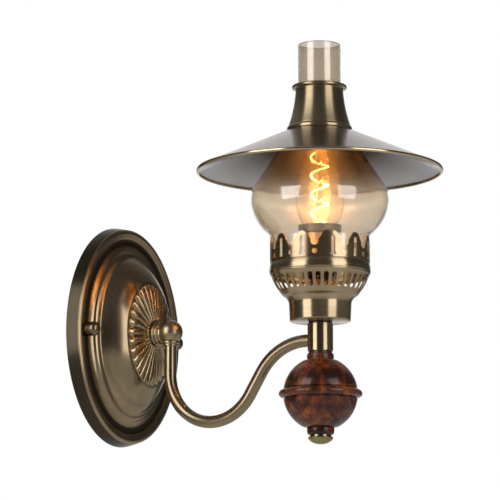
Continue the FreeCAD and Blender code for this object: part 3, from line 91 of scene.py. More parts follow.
def top(node):
    """The height of a node's highest point."""
    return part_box(node)[1].z


def stand(node):
    """The point of the lamp's axis at a node's foot, and the node's height in millimetres."""
    return AXIS + UP * foot(node), (top(node) - foot(node)) / MM


# Selecting and finishing meshes

def leave_edit():
    """Back to object mode with nothing selected."""
    if bpy.context.object and bpy.context.object.mode != "OBJECT":
        bpy.ops.object.mode_set(mode="OBJECT")
    bpy.ops.object.select_all(action="DESELECT")


def choose(piece, *others):
    """Select pieces, the first of them active."""
    leave_edit()
    for item in (piece, *others):
        item.select_set(True)
    bpy.context.view_layer.objects.active = piece


def edit(kind="VERT", action="SELECT"):
    """Edit mode on the active piece, with all or none of its points, edges or faces selected."""
    bpy.ops.object.mode_set(mode="EDIT")
    bpy.ops.mesh.select_mode(type=kind)
    bpy.ops.mesh.select_all(action=action)


def named(piece, name):
    """Give a piece and its mesh a name."""
    piece.name = name
    piece.data.name = name
    return piece


def begun(name):
    """Name the primitive just added, settle its place into its mesh and edit all of it."""
    piece = named(bpy.context.object, name)
    bpy.ops.object.transform_apply(location=True, rotation=True, scale=True)
    edit()
    return piece


def extrude(way):
    """Extrude what is selected by a vector."""
    bpy.ops.mesh.extrude_region_move(TRANSFORM_OT_translate={"value": way})


def faced_out():
    """Turn the faces of the piece in edit mode outwards and leave it."""
    bpy.ops.mesh.select_all(action="SELECT")
    bpy.ops.mesh.normals_make_consistent(inside=False)
    leave_edit()


def tidy(piece, smooth=38, recalculate=True):
    """Merge doubles, turn the faces out and smooth them up to an angle in degrees."""
    choose(piece)
    edit()
    bpy.ops.mesh.remove_doubles(threshold=0.004 * MM)
    if recalculate:
        bpy.ops.mesh.normals_make_consistent(inside=False)
    choose(piece)
    bpy.ops.object.shade_smooth_by_angle(angle=math.radians(smooth))
    leave_edit()
    return piece


def modify(piece, kind, **settings):
    """Add one modifier and apply it."""
    choose(piece)
    modifier = piece.modifiers.new(kind.title(), kind)
    for name, value in settings.items():
        setattr(modifier, name, value)
    bpy.ops.object.modifier_apply(modifier=modifier.name)


def walled(piece, wall, smooth):
    """Give a sheet its wall, laid on behind its faces, and smooth it."""
    modify(piece, "SOLIDIFY", thickness=wall, offset=-1)
    tidy(piece, smooth, recalculate=False)


def cut(piece, cutter):
    """Cut a piece with a cutter, and take the cutter away."""
    modify(piece, "BOOLEAN", operation="DIFFERENCE", object=cutter, solver="EXACT")
    bpy.data.objects.remove(cutter)


def pressed(piece, place):
    """Move every point of a piece to where a formula puts it, as a press does with sheet."""
    leave_edit()
    for point in piece.data.vertices:
        point.co = place(point.co)


def copied(piece, name):
    """A copy with its own mesh."""
    twin = piece.copy()
    twin.data = piece.data.copy()
    bpy.context.scene.collection.objects.link(twin)
    return named(twin, name)


def joined(name, pieces):
    """Several pieces made one."""
    choose(*pieces)
    bpy.ops.object.join()
    return named(bpy.context.object, name)


def dressed(piece, finish, body, node):
    """Give a finished piece its finish and its body, and let it stand for a node."""
    piece.data.materials.clear()
    piece.data.materials.append(made(finish))
    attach(piece, body)
    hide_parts(node)


# Outlines, and what is drawn, spun or extruded from them

def bowed(outline, step=1.2):
    """Points of an outline of (across, up) or (across, up, bow), its bows cut into short runs.

    A bow is the share of the chord by which an arc stands off it, positive to the left of the run.
    """
    points = []
    for index, item in enumerate(outline):
        end = Vector(item[:2])
        if len(item) == 3 and index:
            start = points[-1]
            chord = end - start
            bow = item[2]
            half_turn = 2 * math.atan(2 * abs(bow))
            radius = chord.length / (2 * math.sin(half_turn))
            count = max(2, math.ceil(2 * half_turn * radius / step), math.ceil(half_turn / LONGEST_TURN))
            side = Vector((-chord.y, chord.x)).normalized() * (1 if bow > 0 else -1)
            centre = (start + end) / 2 - side * radius * math.cos(half_turn)
            spoke = start - centre
            sweep = (-1 if bow > 0 else 1) * 2 * half_turn
            for part in range(1, count):
                points.append(centre + Matrix.Rotation(sweep * part / count, 2) @ spoke)
        points.append(end)
    return points


def arc_bow(start, end, radius):
    """The bow, to the right of its run, of an arc of a radius between two points."""
    chord = math.dist(start, end)
    return -math.tan(math.asin(min(1, chord / 2 / radius)) / 2) / 2


def drawn(name, points):
    """A chain of edges through points, drawn by extruding one point."""
    leave_edit()
    bpy.ops.mesh.primitive_plane_add(size=MM, location=points[0])
    piece = begun(name)
    bpy.ops.mesh.merge(type="CENTER")
    for before, after in zip(points, points[1:]):
        bpy.ops.mesh.extrude_vertices_move(TRANSFORM_OT_translate={"value": after - before})
    return piece


def spun(name, outline, base, steps, closed=True, out=UP, step=1.2, smooth=38):
    """A turned piece: an outline of (radius, height from base), spun about a line out of the base."""
    points = [base + (ACROSS * max(point.x, 0) + out * point.y) * MM for point in bowed(outline, step)]
    if closed:
        points.append(points[0])
    piece = drawn(name, points)
    bpy.ops.mesh.select_all(action="SELECT")
    bpy.ops.mesh.spin(steps=steps, angle=math.tau, center=base, axis=out)
    return tidy(piece, smooth)


def ringed(name, rings, points, cap=False):
    """An upright oval shell facing the room, from rings of (half width, half height, depth)."""
    leave_edit()
    width, height, depth = rings[0]
    bpy.ops.mesh.primitive_circle_add(vertices=points, radius=width * MM, fill_type="NOTHING",
                                      location=OUT * depth * MM, rotation=(math.pi / 2, 0, 0))
    piece = begun(name)
    bpy.ops.transform.resize(value=(1, 1, height / width), center_override=(0, 0, 0))
    for ring in rings[1:]:
        extrude(OUT * (ring[2] - depth) * MM)
        bpy.ops.transform.resize(value=(ring[0] / width, 1, ring[1] / height),
                                 center_override=OUT * ring[2] * MM)
        width, height, depth = ring
    if cap:
        bpy.ops.mesh.edge_face_add()
    return piece


# Shader trees written as sums

class Wire:
    """One output of a shader tree, which sums and products can be written with."""

    def __init__(self, tree, socket):
        self.tree = tree
        self.socket = socket

    def maths(self, kind, *values, clamp=False):
        """One Math node over wires and numbers."""
        node = self.tree.nodes.new("ShaderNodeMath")
        node.operation = kind
        node.use_clamp = clamp
        for slot, value in zip(node.inputs, values):
            if isinstance(value, Wire):
                self.tree.links.new(value.socket, slot)
            else:
                slot.default_value = value
        return Wire(self.tree, node.outputs[0])

    def __add__(self, other):
        return self.maths("ADD", self, other)

    def __sub__(self, other):
        return self.maths("SUBTRACT", self, other)

    def __rsub__(self, other):
        return self.maths("SUBTRACT", other, self)

    def __mul__(self, other):
        return self.maths("MULTIPLY", self, other)

    def __pow__(self, other):
        return self.maths("POWER", self, other)

    __rmul__ = __mul__

    def clamped(self):
        """The value held between 0 and 1."""
        return self.maths("ADD", self, 0, clamp=True)

    def between(self, low, high):
        """0 below low, 1 above high, and even between them."""
        return ((self - low) * (1 / (high - low))).clamped()


class Tree:
    """A shader tree under construction."""

    def __init__(self, tree):
        self.tree = tree
        self.tree.nodes.clear()

    def node(self, kind, settings=None, sockets=None, output=0):
        """Any node: its settings first, then the values or wires of its sockets."""
        node = self.tree.nodes.new(kind)
        for name, value in (settings or {}).items():
            if name == "stops":
                stops = node.color_ramp.elements
                while len(stops) < len(value):
                    stops.new(0.5)
                for stop, (place, colour) in zip(stops, value):
                    stop.position = place
                    stop.color = (*colour, 1)
            else:
                setattr(node, name, value)
        for name, value in (sockets or {}).items():
            if isinstance(value, Wire):
                self.tree.links.new(value.socket, node.inputs[name])
            else:
                node.inputs[name].default_value = value
        return Wire(self.tree, node.outputs[output])

    def split(self, vector, axis):
        """One part of a vector."""
        parts = self.node("ShaderNodeSeparateXYZ", {}, {"Vector": vector})
        return Wire(self.tree, parts.socket.node.outputs[axis])

    def ray(self, kind):
        """1 for rays of a kind and 0 for others."""
        return self.node("ShaderNodeLightPath", output=f"Is {kind} Ray")


class Finish(Tree):
    """A material under construction, its surface one Principled shader."""

    def __init__(self, name, **surface):
        self.material = bpy.data.materials.new(name)
        self.material.use_nodes = True
        super().__init__(self.material.node_tree)
        self.end = self.tree.nodes.new("ShaderNodeOutputMaterial")
        self.surface = self.tree.nodes.new("ShaderNodeBsdfPrincipled")
        for socket, value in surface.items():
            self.surface.inputs[socket.replace("_", " ")].default_value = value
        self.tree.links.new(self.surface.outputs[0], self.end.inputs["Surface"])

    def place(self, stretch=(1, 1, 1), centre=(0, 0, 0)):
        """Coordinates on the piece, in metres from a centre, stretched along each axis."""
        there = self.node("ShaderNodeTexCoord", output="Object")
        shift = [-c * s for c, s in zip(centre, stretch)]
        return self.node("ShaderNodeMapping", {}, {"Vector": there, "Scale": stretch, "Location": shift})

    def part(self, axis, centre=(0, 0, 0)):
        """One coordinate of the piece."""
        return self.split(self.place(centre=centre), axis)

    def reach(self, centre, axes=(0, 1), size=(1, 1)):
        """Distance from a centre across two axes, each measured in shares of a size."""
        across, along = (self.part(axis, centre) * (1 / part) for axis, part in zip(axes, size))
        return (across * across + along * along) ** 0.5

    def own(self, name):
        """A number that the piece's own points carry."""
        return self.node("ShaderNodeAttribute", {"attribute_name": name}, output="Fac")

    def noise(self, scale, stretch=(1, 1, 1), detail=2, roughness=0.5, distortion=0):
        """Cloudy noise, its scale in cells a metre."""
        return self.node("ShaderNodeTexNoise", {}, {
            "Vector": self.place(stretch), "Scale": scale, "Detail": detail, "Roughness": roughness,
            "Distortion": distortion})

    def mixed(self, share, low, high):
        """A colour between two."""
        def colour(value):
            return value if isinstance(value, Wire) else (*value, 1)

        return self.node("ShaderNodeMix", {"data_type": "RGBA", "clamp_factor": True},
                         {0: share, 6: colour(low), 7: colour(high)}, output=2)

    def ramp(self, share, stops):
        """A colour ramp."""
        return self.node("ShaderNodeValToRGB", {"stops": stops}, {"Fac": share})

    def feed(self, **wires):
        """Lead wires to the surface's sockets."""
        for socket, wire in wires.items():
            self.tree.links.new(wire.socket, self.surface.inputs[socket.replace("_", " ")])

    def bumped(self, height, distance, strength=1.0):
        """A bump of a height in shares of a distance in metres."""
        self.feed(Normal=self.node("ShaderNodeBump", {}, {
            "Height": height, "Distance": distance, "Strength": strength}))

    def seen_through(self, tint):
        """Let light rays pass a glass as through tinted air."""
        clear = self.node("ShaderNodeBsdfTransparent", {}, {"Color": (*tint, 1)})
        glass = Wire(self.tree, self.surface.outputs[0])
        mixed = self.node("ShaderNodeMixShader", {}, {0: self.ray("Shadow"), 1: glass, 2: clear})
        self.tree.links.new(mixed.socket, self.end.inputs["Surface"])


def scaled(colour, *shares):
    """A colour times one share, or times a share for each of its three parts."""
    return tuple(part * share for part, share in zip(colour, shares if len(shares) == 3 else shares * 3))


# Kinds of finish

def antique_brass(name, light, dark, brush=(60, 60, 2600), rough=0.3, wear=0.4, grain=0.006,
                  painted_shade=None, spread=0.0):
    """Brushed brass with an antique tint: fine brushing, soft clouds, a few darker specks and painted
    shade.

    The brush is in cells a metre along each axis, and the grain is the depth of the brushing in
    millimetres. A painted shade takes the finish and gives the share of dark tint painted where shade
    falls, in hollows, grooves and dark sides. A spread draws the highlights across the brushing of what
    is turned about an upright axis.
    """
    finish = Finish(name, Metallic=1.0, IOR=1.5, Anisotropic=spread, Anisotropic_Rotation=0.25)
    lines = finish.noise(1, brush, roughness=0.6)
    coarse = finish.noise(1, scaled(brush, 0.2))
    clouds = finish.noise(22)
    specks = finish.noise(900).between(0.68, 0.76)
    share = (clouds.between(0.3, 0.75) * wear + coarse.between(0.3, 0.7) * 0.16
             + lines.between(0.25, 0.75) * 0.14).clamped()
    colour = finish.mixed(share, light, dark)
    colour = finish.mixed(specks * 0.2, colour, scaled(dark, 0.4))
    # Painted shade: a dark tint and a duller metal laid where shade falls
    if painted_shade:
        shade_share = painted_shade(finish)
        colour = finish.mixed(shade_share, colour, scaled(dark, 0.1))
        finish.feed(Metallic=1 - shade_share * 0.2)
    finish.feed(Base_Color=colour, Roughness=clouds * 0.06 + lines * 0.08 + (rough - 0.07))
    finish.bumped(lines + coarse * 0.5, grain * MM)
    return finish.material


def plain_metal(name, colour, rough=0.3, brush=(300, 300, 2000)):
    """Plain turned or plated metal with fine tool marks."""
    finish = Finish(name, Metallic=1.0)
    lines = finish.noise(1, brush)
    clouds = finish.noise(60)
    finish.feed(Base_Color=finish.mixed(clouds.between(0.3, 0.7) * 0.5 + lines * 0.2, colour,
                                        scaled(colour, 0.6)),
                Roughness=lines * 0.15 + (rough - 0.05))
    finish.bumped(lines, 0.02 * MM)
    return finish.material


def moulded(name, colour, rough=0.4, coat=0.0):
    """Moulded plastic, sleeving or glazed ware."""
    finish = Finish(name, Coat_Weight=coat, Coat_Roughness=0.08)
    clouds = finish.noise(45)
    grains = finish.noise(700)
    finish.feed(Base_Color=finish.mixed(clouds.between(0.3, 0.7) * 0.35, colour, scaled(colour, 0.75)),
                Roughness=grains * 0.1 + (rough - 0.05))
    finish.bumped(grains, 0.02 * MM)
    return finish.material


def lacquered_wood(name):
    """Stained wood under clear lacquer: mottled figure, dark pores and a deep gloss."""
    finish = Finish(name, Coat_Weight=0.75, Coat_Roughness=0.15, Coat_IOR=1.42, Specular_IOR_Level=0.12)
    flow = finish.noise(26, (1, 1, 2.2), detail=4, roughness=0.62, distortion=1.6)
    figure = finish.noise(75, (1.2, 1.2, 0.45), detail=4, roughness=0.6, distortion=0.9)
    pores = finish.noise(520, (1, 1, 0.12)).between(0.58, 0.7)
    share = (flow.between(0.3, 0.72) * 0.65 + figure.between(0.32, 0.7) * 0.45).clamped()
    colour = finish.ramp(share, [(0.0, (0.005, 0.0015, 0.001)), (0.35, (0.022, 0.005, 0.002)),
                                 (0.6, (0.078, 0.016, 0.004)), (0.82, (0.18, 0.04, 0.008)),
                                 (1.0, (0.33, 0.08, 0.014))])
    colour = finish.mixed(pores * 0.6, colour, (0.01, 0.003, 0.002))
    finish.feed(Base_Color=colour, Roughness=figure * 0.2 + 0.3)
    finish.bumped(pores * -1 + figure * 0.3, 0.03 * MM)
    return finish.material


def blown_glass(name, tint, rough=0.0, shade=(1, 1, 1), painted_glow=None, coat=0.0, tints=None):
    """Thin blown glass with a tint and the faintest waves, whose shadow has the tint of a shade.

    A painted glow of the glass round the filament is (colour, low, high), and tints that turn with
    the height are (low, high, stops of a ramp between them).
    """
    finish = Finish(name, Transmission_Weight=1.0, IOR=1.47, Roughness=rough, Coat_Weight=coat,
                    Coat_IOR=1.7, Coat_Roughness=0.2, Base_Color=(*tint, 1),
                    Emission_Strength=1.0 if painted_glow else 0.0)
    # Painted glow: the glass itself gives off a warm light round the filament, strongest where it faces the
    # view
    if painted_glow:
        colour, low, high = painted_glow
        height = finish.part(2)
        middle = (low + high) / 2
        fade = 12 * MM
        near = height.between(low - fade, middle) * height.between(high + fade, middle)
        facing = finish.node("ShaderNodeLayerWeight", {}, {"Blend": 0.5}, output="Facing")
        share = near ** 0.8 * (1 - facing) ** 4
        finish.feed(Emission_Color=finish.mixed(share, (0, 0, 0), colour))
    if tints:
        low, high, stops = tints
        finish.feed(Base_Color=finish.ramp(finish.part(2).between(low, high), stops))
    finish.bumped(finish.noise(9, (1, 1, 2.5), detail=1), 0.4 * MM, 0.25)
    finish.seen_through(shade)
    return finish.material


def glowing(name, colour, strength):
    """Hot wire."""
    finish = Finish(name, Emission_Strength=strength, Roughness=0.6)
    heat = finish.noise(120, detail=1)
    finish.feed(Emission_Color=finish.mixed(heat, colour, scaled(colour, 0.8)),
                Base_Color=finish.mixed(heat, colour, (0.3, 0.2, 0.1)))
    return finish.material


# Sizes and colours that a user would change

class PlateSettings(bpy.types.PropertyGroup):
    """The wall plate and its fluted rosette."""

    wall: FloatProperty(name="Sheet", description="Thickness of the stamped plate", default=1.2 * MM,
                        unit="LENGTH")
    flutes: IntProperty(name="Flutes", description="Number of ridges round the rosette", default=30)
    relief: FloatProperty(name="Ridge height", description="How far a ridge stands over its valleys",
                          default=4.2 * MM, unit="LENGTH")


class BurnerSettings(bpy.types.PropertyGroup):
    """The slotted cup and the punched gallery."""

    slots: IntProperty(name="Cup slots", description="Number of slots round the cup", default=36)
    slot_width: FloatProperty(name="Slot width", description="Width of a slot of the cup",
                              default=4.6 * MM, unit="LENGTH")
    arches: IntProperty(name="Arches", description="Number of arches of the gallery", default=12)
    arch_pitch: FloatProperty(name="Arch spacing", description="Angle from one arch to the next",
                              default=math.radians(29.45), subtype="ANGLE")
    first_gap: FloatProperty(name="First gap", description="Where the first gap of the gallery stands",
                             default=math.radians(242.2), subtype="ANGLE")


class BulbSettings(bpy.types.PropertyGroup):
    """The lit bulb and its filament."""

    turns: FloatProperty(name="Filament turns", description="Turns of the filament's coil", default=3.5)
    glow: FloatVectorProperty(name="Glow", description="Colour of the light of the bulb", subtype="COLOR",
                              default=(1.0, 0.52, 0.16))
    filament_strength: FloatProperty(name="Filament strength", description="Brightness of the filament",
                                     default=50.0)
    lamp_power: FloatProperty(name="Bulb power", description="Power of the light inside the bulb",
                              default=0.7, unit="POWER")


class FinishSettings(bpy.types.PropertyGroup):
    """Colours of the finishes."""

    brass: FloatVectorProperty(name="Brass", description="Bright side of the antique brass",
                               subtype="COLOR", default=(0.56, 0.44, 0.275))
    brass_shadow: FloatVectorProperty(name="Brass shadow", description="Dark side of the antique brass",
                                      subtype="COLOR", default=(0.22, 0.148, 0.08))
    shade_top: FloatVectorProperty(name="Shade", description="Bright side of the shade's metal",
                                   subtype="COLOR", default=(0.44, 0.36, 0.325))
    # Painted sheen: the pale colour painted on the shade's underside at its rim
    underside_painted_sheen: FloatVectorProperty(name="Inside of the shade", subtype="COLOR",
                                      description="Metal of the shade's underside at its rim",
                                      default=(0.6, 0.57, 0.57))
    glass: FloatVectorProperty(name="Glass", description="Tint of the chimney's globe", subtype="COLOR",
                               default=(0.82, 0.75, 0.63))
    smoke: FloatVectorProperty(name="Smoke", description="Tint of the chimney's upper tube",
                               subtype="COLOR", default=(0.61, 0.54, 0.455))


class StageSettings(bpy.types.PropertyGroup):
    """The camera, the floor and the lamps."""

    lens: FloatProperty(name="Lens", description="Focal length on a 36 mm frame", default=203.8,
                        unit="CAMERA")
    distance: FloatProperty(name="Distance", description="From the camera to what it looks at",
                            default=2.787, unit="LENGTH")
    azimuth: FloatProperty(name="Azimuth", default=math.radians(-56.17), subtype="ANGLE",
                           description="Turn of the camera from the lamp's front, negative to the left")
    elevation: FloatProperty(name="Elevation", default=math.radians(-9.04), subtype="ANGLE",
                             description="Angle of the camera over what it looks at, negative below it")
    target: FloatVectorProperty(name="Target", description="Point that the camera looks at",
                                subtype="TRANSLATION", default=(0.0563, -0.1177, 0.0845))
    drop: FloatProperty(name="Floor", description="From the lamp's lowest point down to the floor",
                        default=1.6, unit="LENGTH")
    key_power: FloatProperty(name="Left softbox", description="Power of the softbox left of the camera",
                             default=16.0, unit="POWER")
    fill_power: FloatProperty(name="Right softbox", description="Power of the softbox on the right",
                              default=12.0, unit="POWER")


# Wall plate and rosette

# Half the width and height at the rim, where the dome begins, and how its height falls ahead of its width
PLATE_RIM = (83.0, 105.5)
DOME_INSET = 28.5
DOME_SHORTENING = 0.4286
PLATE_OUTLINE = [
    (-3.0, 0.2), (-0.3, 12.4, -0.02), (0.3, 13.5, -0.18), (1.0, 13.7), (2.6, 14.5, -0.16),
    (5.2, 13.9, -0.1), (8.6, 12.6, -0.03), (12.5, 11.9, 0.06), (21.2, 14.6, 0.06), (25.0, 17.5, -0.1),
    (DOME_INSET, 18.6, 0.05), (46.0, 37.5, -0.06)]


def plate_rings():
    """Rings of the plate from its outline of (inset, depth, bow): up the dome the oval grows rounder."""
    rings = []
    for point in bowed([(-item[0], *item[1:]) for item in PLATE_OUTLINE], 1.0):
        inset = -point.x
        tall = inset + max(0, inset - DOME_INSET) * DOME_SHORTENING
        rings.append((PLATE_RIM[0] - inset, PLATE_RIM[1] - tall, point.y))
    return rings


def drill(piece, across, radius, depth):
    """Bore a round hole straight into a piece, at a place across it in metres."""
    leave_edit()
    turn = UP.rotation_difference(OUT).to_euler()
    bpy.ops.mesh.primitive_cylinder_add(vertices=32, radius=radius * MM, depth=depth * MM * 2,
                                        location=(across, 0, 0), rotation=turn)
    cut(piece, bpy.context.object)


class SCONCE_OT_wall_plate(bpy.types.Operator):
    """Stamp the oval wall plate with its rim, cove, ridge and dome"""

    bl_idname = "sconce.wall_plate"
    bl_label = "Wall plate"

    def execute(self, context):
        plate = ringed("wall_plate_shell", plate_rings(), 224, cap=True)
        tidy(plate, 50)
        modify(plate, "SOLIDIFY", thickness=context.scene.sconce_plate.wall, offset=-1)
        drill(plate, 0, 5.2, 45)
        for node in ("left_cap_nut", "right_cap_nut"):
            low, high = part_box(node)
            drill(plate, (low.x + high.x) / 2, 2.3, 30)
        tidy(plate, 42, recalculate=False)
        dressed(plate, "plate brass", "lamp", "wall_plate")
        return {"FINISHED"}


class SCONCE_OT_rosette(bpy.types.Operator):
    """Press the fluted oval rosette"""

    bl_idname = "sconce.rosette"
    bl_label = "Rosette"

    def execute(self, context):
        plate = context.scene.sconce_plate
        low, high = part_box("rosette")
        wide = (high.x - low.x) / 2
        tall = (high.z - low.z) / 2
        seat = -high.y
        rise = (-low.y - seat) / MM
        round_inset = 22.8
        outline = bowed([
            (0.0, 0.0), (0.0, 1.0), (0.7, 2.0, 0.2), (5.0, rise * 0.56, 0.05), (13.0, rise * 0.78, 0.03),
            (21.3, rise - 0.5, 0.03), (round_inset, rise - 0.05, 0.1), (29.6, rise)], 0.8)
        rings = []
        for point in outline:
            share = max(0, 1 - point.x * MM / wide)
            even = min(1, point.x / round_inset)
            round_tall = tall * share * (1 - even) + wide * share * even
            rings.append((wide * share / MM, round_tall / MM, seat / MM + point.y))
        rosette = ringed("rosette_press", rings, plate.flutes * 16)
        plain = 12.4 * MM

        def outward(point):
            """0 where the flutes begin, 1 at the rosette's side."""
            return min(1, max(0, (math.hypot(point.x, point.z) - plain) / (wide - plain)))

        def hollow(point):
            """0 on the ridges and 1 along the valleys, which swell out of the plain middle."""
            angle = math.atan2(point.x / wide, point.z / tall)
            across = 2 * (angle * plate.flutes / math.tau % 1) - 1
            return min(1, outward(point) * 3.2) * (1 - math.sqrt(max(0, 1 - across * across)))

        def flute(point):
            """Valleys pressed down to just over the plate, and drawn in at the scalloped side."""
            share = outward(point)
            valley = hollow(point)
            deepest = max(0, -point.y - seat - 0.25 * MM)
            fall = min(plate.relief * (0.55 + 0.45 * share) * valley, deepest)
            pull = 1 - 0.085 * max(0, (share - 0.6) / 0.4) ** 2 * valley
            return Vector((point.x * pull, point.y + fall, point.z * pull))

        # The valley share kept on the points, for the painted shade between the ridges
        valley_shade_layer = rosette.data.attributes.new("hollow", "FLOAT", "POINT")
        for point, value in zip(rosette.data.vertices, valley_shade_layer.data):
            value.value = hollow(point.co)
        pressed(rosette, flute)
        tidy(rosette, 60)
        walled(rosette, 0.5 * MM, 60)
        dressed(rosette, "rosette brass", "lamp", "rosette")
        return {"FINISHED"}


# Cap nuts, collar and ball on the plate

class SCONCE_OT_plate_fittings(bpy.types.Operator):
    """Turn the two ball headed nuts, the collar and the ball of the arm"""

    bl_idname = "sconce.plate_fittings"
    bl_label = "Nuts, collar and ball"

    def execute(self, context):
        for node in ("left_cap_nut", "right_cap_nut"):
            low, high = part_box(node)
            base = Vector(((low.x + high.x) / 2, high.y, (low.z + high.z) / 2))
            nut = spun(f"{node}_turned", [
                (2.0, 0.0), (6.5, 0.0), (6.95, 0.5, QUARTER), (6.95, 7.4), (4.9, 11.0, -0.1),
                (0.0, 12.3, -0.1)], base, 56, out=OUT, closed=False, step=0.6)
            dressed(nut, "nut brass", node, node)
        base = Vector((0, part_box("boss_collar")[1].y, 0))
        collar = spun("boss_collar_turned", [
            (5.0, 0.0), (10.0, 0.0), (10.2, 1.2), (12.0, 2.5, -0.2), (10.2, 3.8, -0.2), (10.0, 4.4, 0.15),
            (10.2, 5.0, 0.15), (11.6, 6.3, -0.2), (10.2, 7.6, -0.2), (9.0, 8.7, 0.15), (9.0, 9.8),
            (5.0, 9.8)], base, 80, out=OUT, step=0.5, smooth=55)
        dressed(collar, "turned brass", "lamp", "boss_collar")
        self.arm_ball()
        return {"FINISHED"}

    def arm_ball(self):
        """The ball, with the ringed cuff below it that the arm comes out of."""
        low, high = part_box("arm_ball")
        middle = (low.z + high.z) / 2
        radius = (high.x - low.x) / 2 / MM
        seat = (high.y - low.y) / MM - radius
        rim = math.sqrt(radius ** 2 - seat ** 2)
        ball = spun("arm_ball_turned", [
            (0.0, 0.0), (rim, 0.0), (radius, seat, arc_bow((rim, 0), (radius, seat), radius)),
            (0.0, seat + radius, QUARTER)], Vector((0, high.y, middle)), 88, out=OUT, closed=False,
            step=0.7)
        low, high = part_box("arm_tube")
        arm = (high.x - low.x) / 2 / MM
        cuff = spun("arm_cuff", [
            (arm, -8.4), (arm + 2.2, -9.0), (arm + 2.6, -10.4, 0.1), (arm + 2.1, -11.6, 0.2),
            (arm + 1.5, -12.0), (arm + 1.5, -13.4), (arm + 1.1, -13.9, 0.2), (arm, -13.9)],
            Vector((0, high.y - arm * MM, middle)), 64, step=0.4)
        ball = joined("arm_ball_turned", [ball, cuff])
        dressed(ball, "ball brass", "lamp", "arm_ball")


# The arm and what hangs on the lamp's axis

class SCONCE_OT_arm(bpy.types.Operator):
    """Bend the arm: down from the ball, round below, up a slope and level into the stem"""

    bl_idname = "sconce.arm"
    bl_label = "Arm"

    def execute(self, context):
        low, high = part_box("arm_tube")
        radius = (high.x - low.x) / 2
        start = Vector((0, high.y - radius, high.z))
        elbow = -40.4 * MM
        level = foot("burner_cup") - 16.7 * MM
        slope = math.radians(57)
        down_bend, up_bend, level_bend = 49.1 * MM, 52.6 * MM, 58.6 * MM
        leave_edit()
        bpy.ops.mesh.primitive_circle_add(vertices=40, radius=radius, location=start)
        arm = begun("arm_tube_bent")
        extrude((0, 0, elbow - high.z))
        here = Vector((0, start.y, elbow))
        centre = here + OUT * down_bend
        bpy.ops.mesh.spin(steps=28, angle=math.pi / 2, center=centre, axis=ACROSS)
        here = centre - UP * down_bend
        bpy.ops.mesh.spin(steps=20, angle=slope, center=here + UP * up_bend, axis=ACROSS)
        here += OUT * up_bend * math.sin(slope) + UP * up_bend * (1 - math.cos(slope))
        climb = level - here.z - level_bend * (1 - math.cos(slope))
        along = (OUT * math.cos(slope) + UP * math.sin(slope)) * climb / math.sin(slope)
        extrude(along)
        centre = here + along + (OUT * math.sin(slope) - UP * math.cos(slope)) * level_bend
        bpy.ops.mesh.spin(steps=20, angle=-slope, center=centre, axis=ACROSS)
        extrude((0, low.y - centre.y, 0))
        tidy(arm, 40)
        walled(arm, 1.4 * MM, 40)
        dressed(arm, "arm brass", "lamp", "arm_tube")
        return {"FINISHED"}


class SCONCE_OT_stem(bpy.types.Operator):
    """Turn the stem below the cup, its washer and the brass button at the bottom"""

    bl_idname = "sconce.stem"
    bl_label = "Stem, washer and finial"

    def execute(self, context):
        base, height = stand("stem_tube")
        stem = spun("stem_turned", [
            (10.6, 0.0), (11.8, 0.0), (12.1, 0.4, QUARTER), (12.1, height - 1.9), (11.7, height - 1.5),
            (11.2, height - 1.4), (11.2, height), (10.6, height)], base, 88, step=0.6)
        dressed(stem, "stem brass", "lamp", "stem_tube")
        base = AXIS + UP * foot("stem_washer")
        washer = spun("stem_washer_turned", [
            (3.1, 0.0), (10.6, 0.0), (11.0, 1.0, -0.25), (10.6, 2.0, -0.25), (3.1, 2.0)], base, 72,
            step=0.4)
        dressed(washer, "dark brass", "lamp", "stem_washer")
        base = AXIS + UP * foot("finial")
        finial = spun("finial_turned", [
            (0.0, 0.2), (4.2, 0.7, -0.03), (8.6, 2.5, -0.06), (11.8, 6.1, -0.1), (11.6, 6.9, -0.2),
            (10.4, 7.4), (10.2, 7.6, 0.2), (10.2, 8.8), (3.1, 8.8)], base, 88, closed=False, step=0.6)
        dressed(finial, "polished brass", "finial", "finial")
        return {"FINISHED"}


class SCONCE_OT_wood(bpy.types.Operator):
    """Turn the wooden ball with its collar, bead and foot"""

    bl_idname = "sconce.wood"
    bl_label = "Wooden ball"

    def execute(self, context):
        radius = 35.2
        middle = -38.0
        groove = 5.2
        edge = math.sqrt(radius ** 2 - groove ** 2)
        shoulder = 16.4
        rise = math.sqrt(radius ** 2 - shoulder ** 2)
        bow = -arc_bow((shoulder, rise), (edge, groove), radius)
        wood = spun("wood_turned", [
            (3.3, 0.0), (11.6, 0.0), (12.4, -0.8, 0.2), (12.8, -3.2, 0.03), (12.4, -5.6, 0.03),
            (13.0, -6.6, -0.15), (shoulder, middle + rise), (edge, middle + groove, bow),
            (edge - 0.9, middle + 4.7, -0.15), (34.4, middle + 4.1, -0.2), (38.2, middle + 2.6, 0.1),
            (39.4, middle, 0.12), (38.2, middle - 2.6, 0.12), (34.4, middle - 4.1, 0.1),
            (edge - 0.9, middle - 4.7, -0.2), (edge, middle - groove, -0.15),
            (shoulder, middle - rise, bow), (12.6, -69.8), (12.9, -71.2, 0.1), (12.6, -74.4, 0.03),
            (11.9, -76.1, 0.1), (11.4, -76.6, 0.15), (3.3, -76.6)],
            AXIS + UP * top("wood_ball"), 128, smooth=48)
        dressed(wood, "lacquered wood", "lamp", "wood_ball")
        return {"FINISHED"}


# Cup and gallery, whose slotted bands are punched flat and rolled

def slab(name, width, low, high, thick, columns, rows):
    """A flat strip of sheet in the plane of X and Z, its inner face at Y = 0, cut into small panes."""
    leave_edit()
    bpy.ops.mesh.primitive_grid_add(x_subdivisions=columns, y_subdivisions=rows, size=1,
                                    rotation=(math.pi / 2, 0, 0))
    piece = begun(name)
    bpy.ops.transform.resize(value=(width * MM, 1, (high - low) * MM), center_override=(0, 0, 0))
    bpy.ops.transform.translate(value=UP * (high + low) / 2 * MM)
    extrude(OUT * thick * MM)
    faced_out()
    return piece


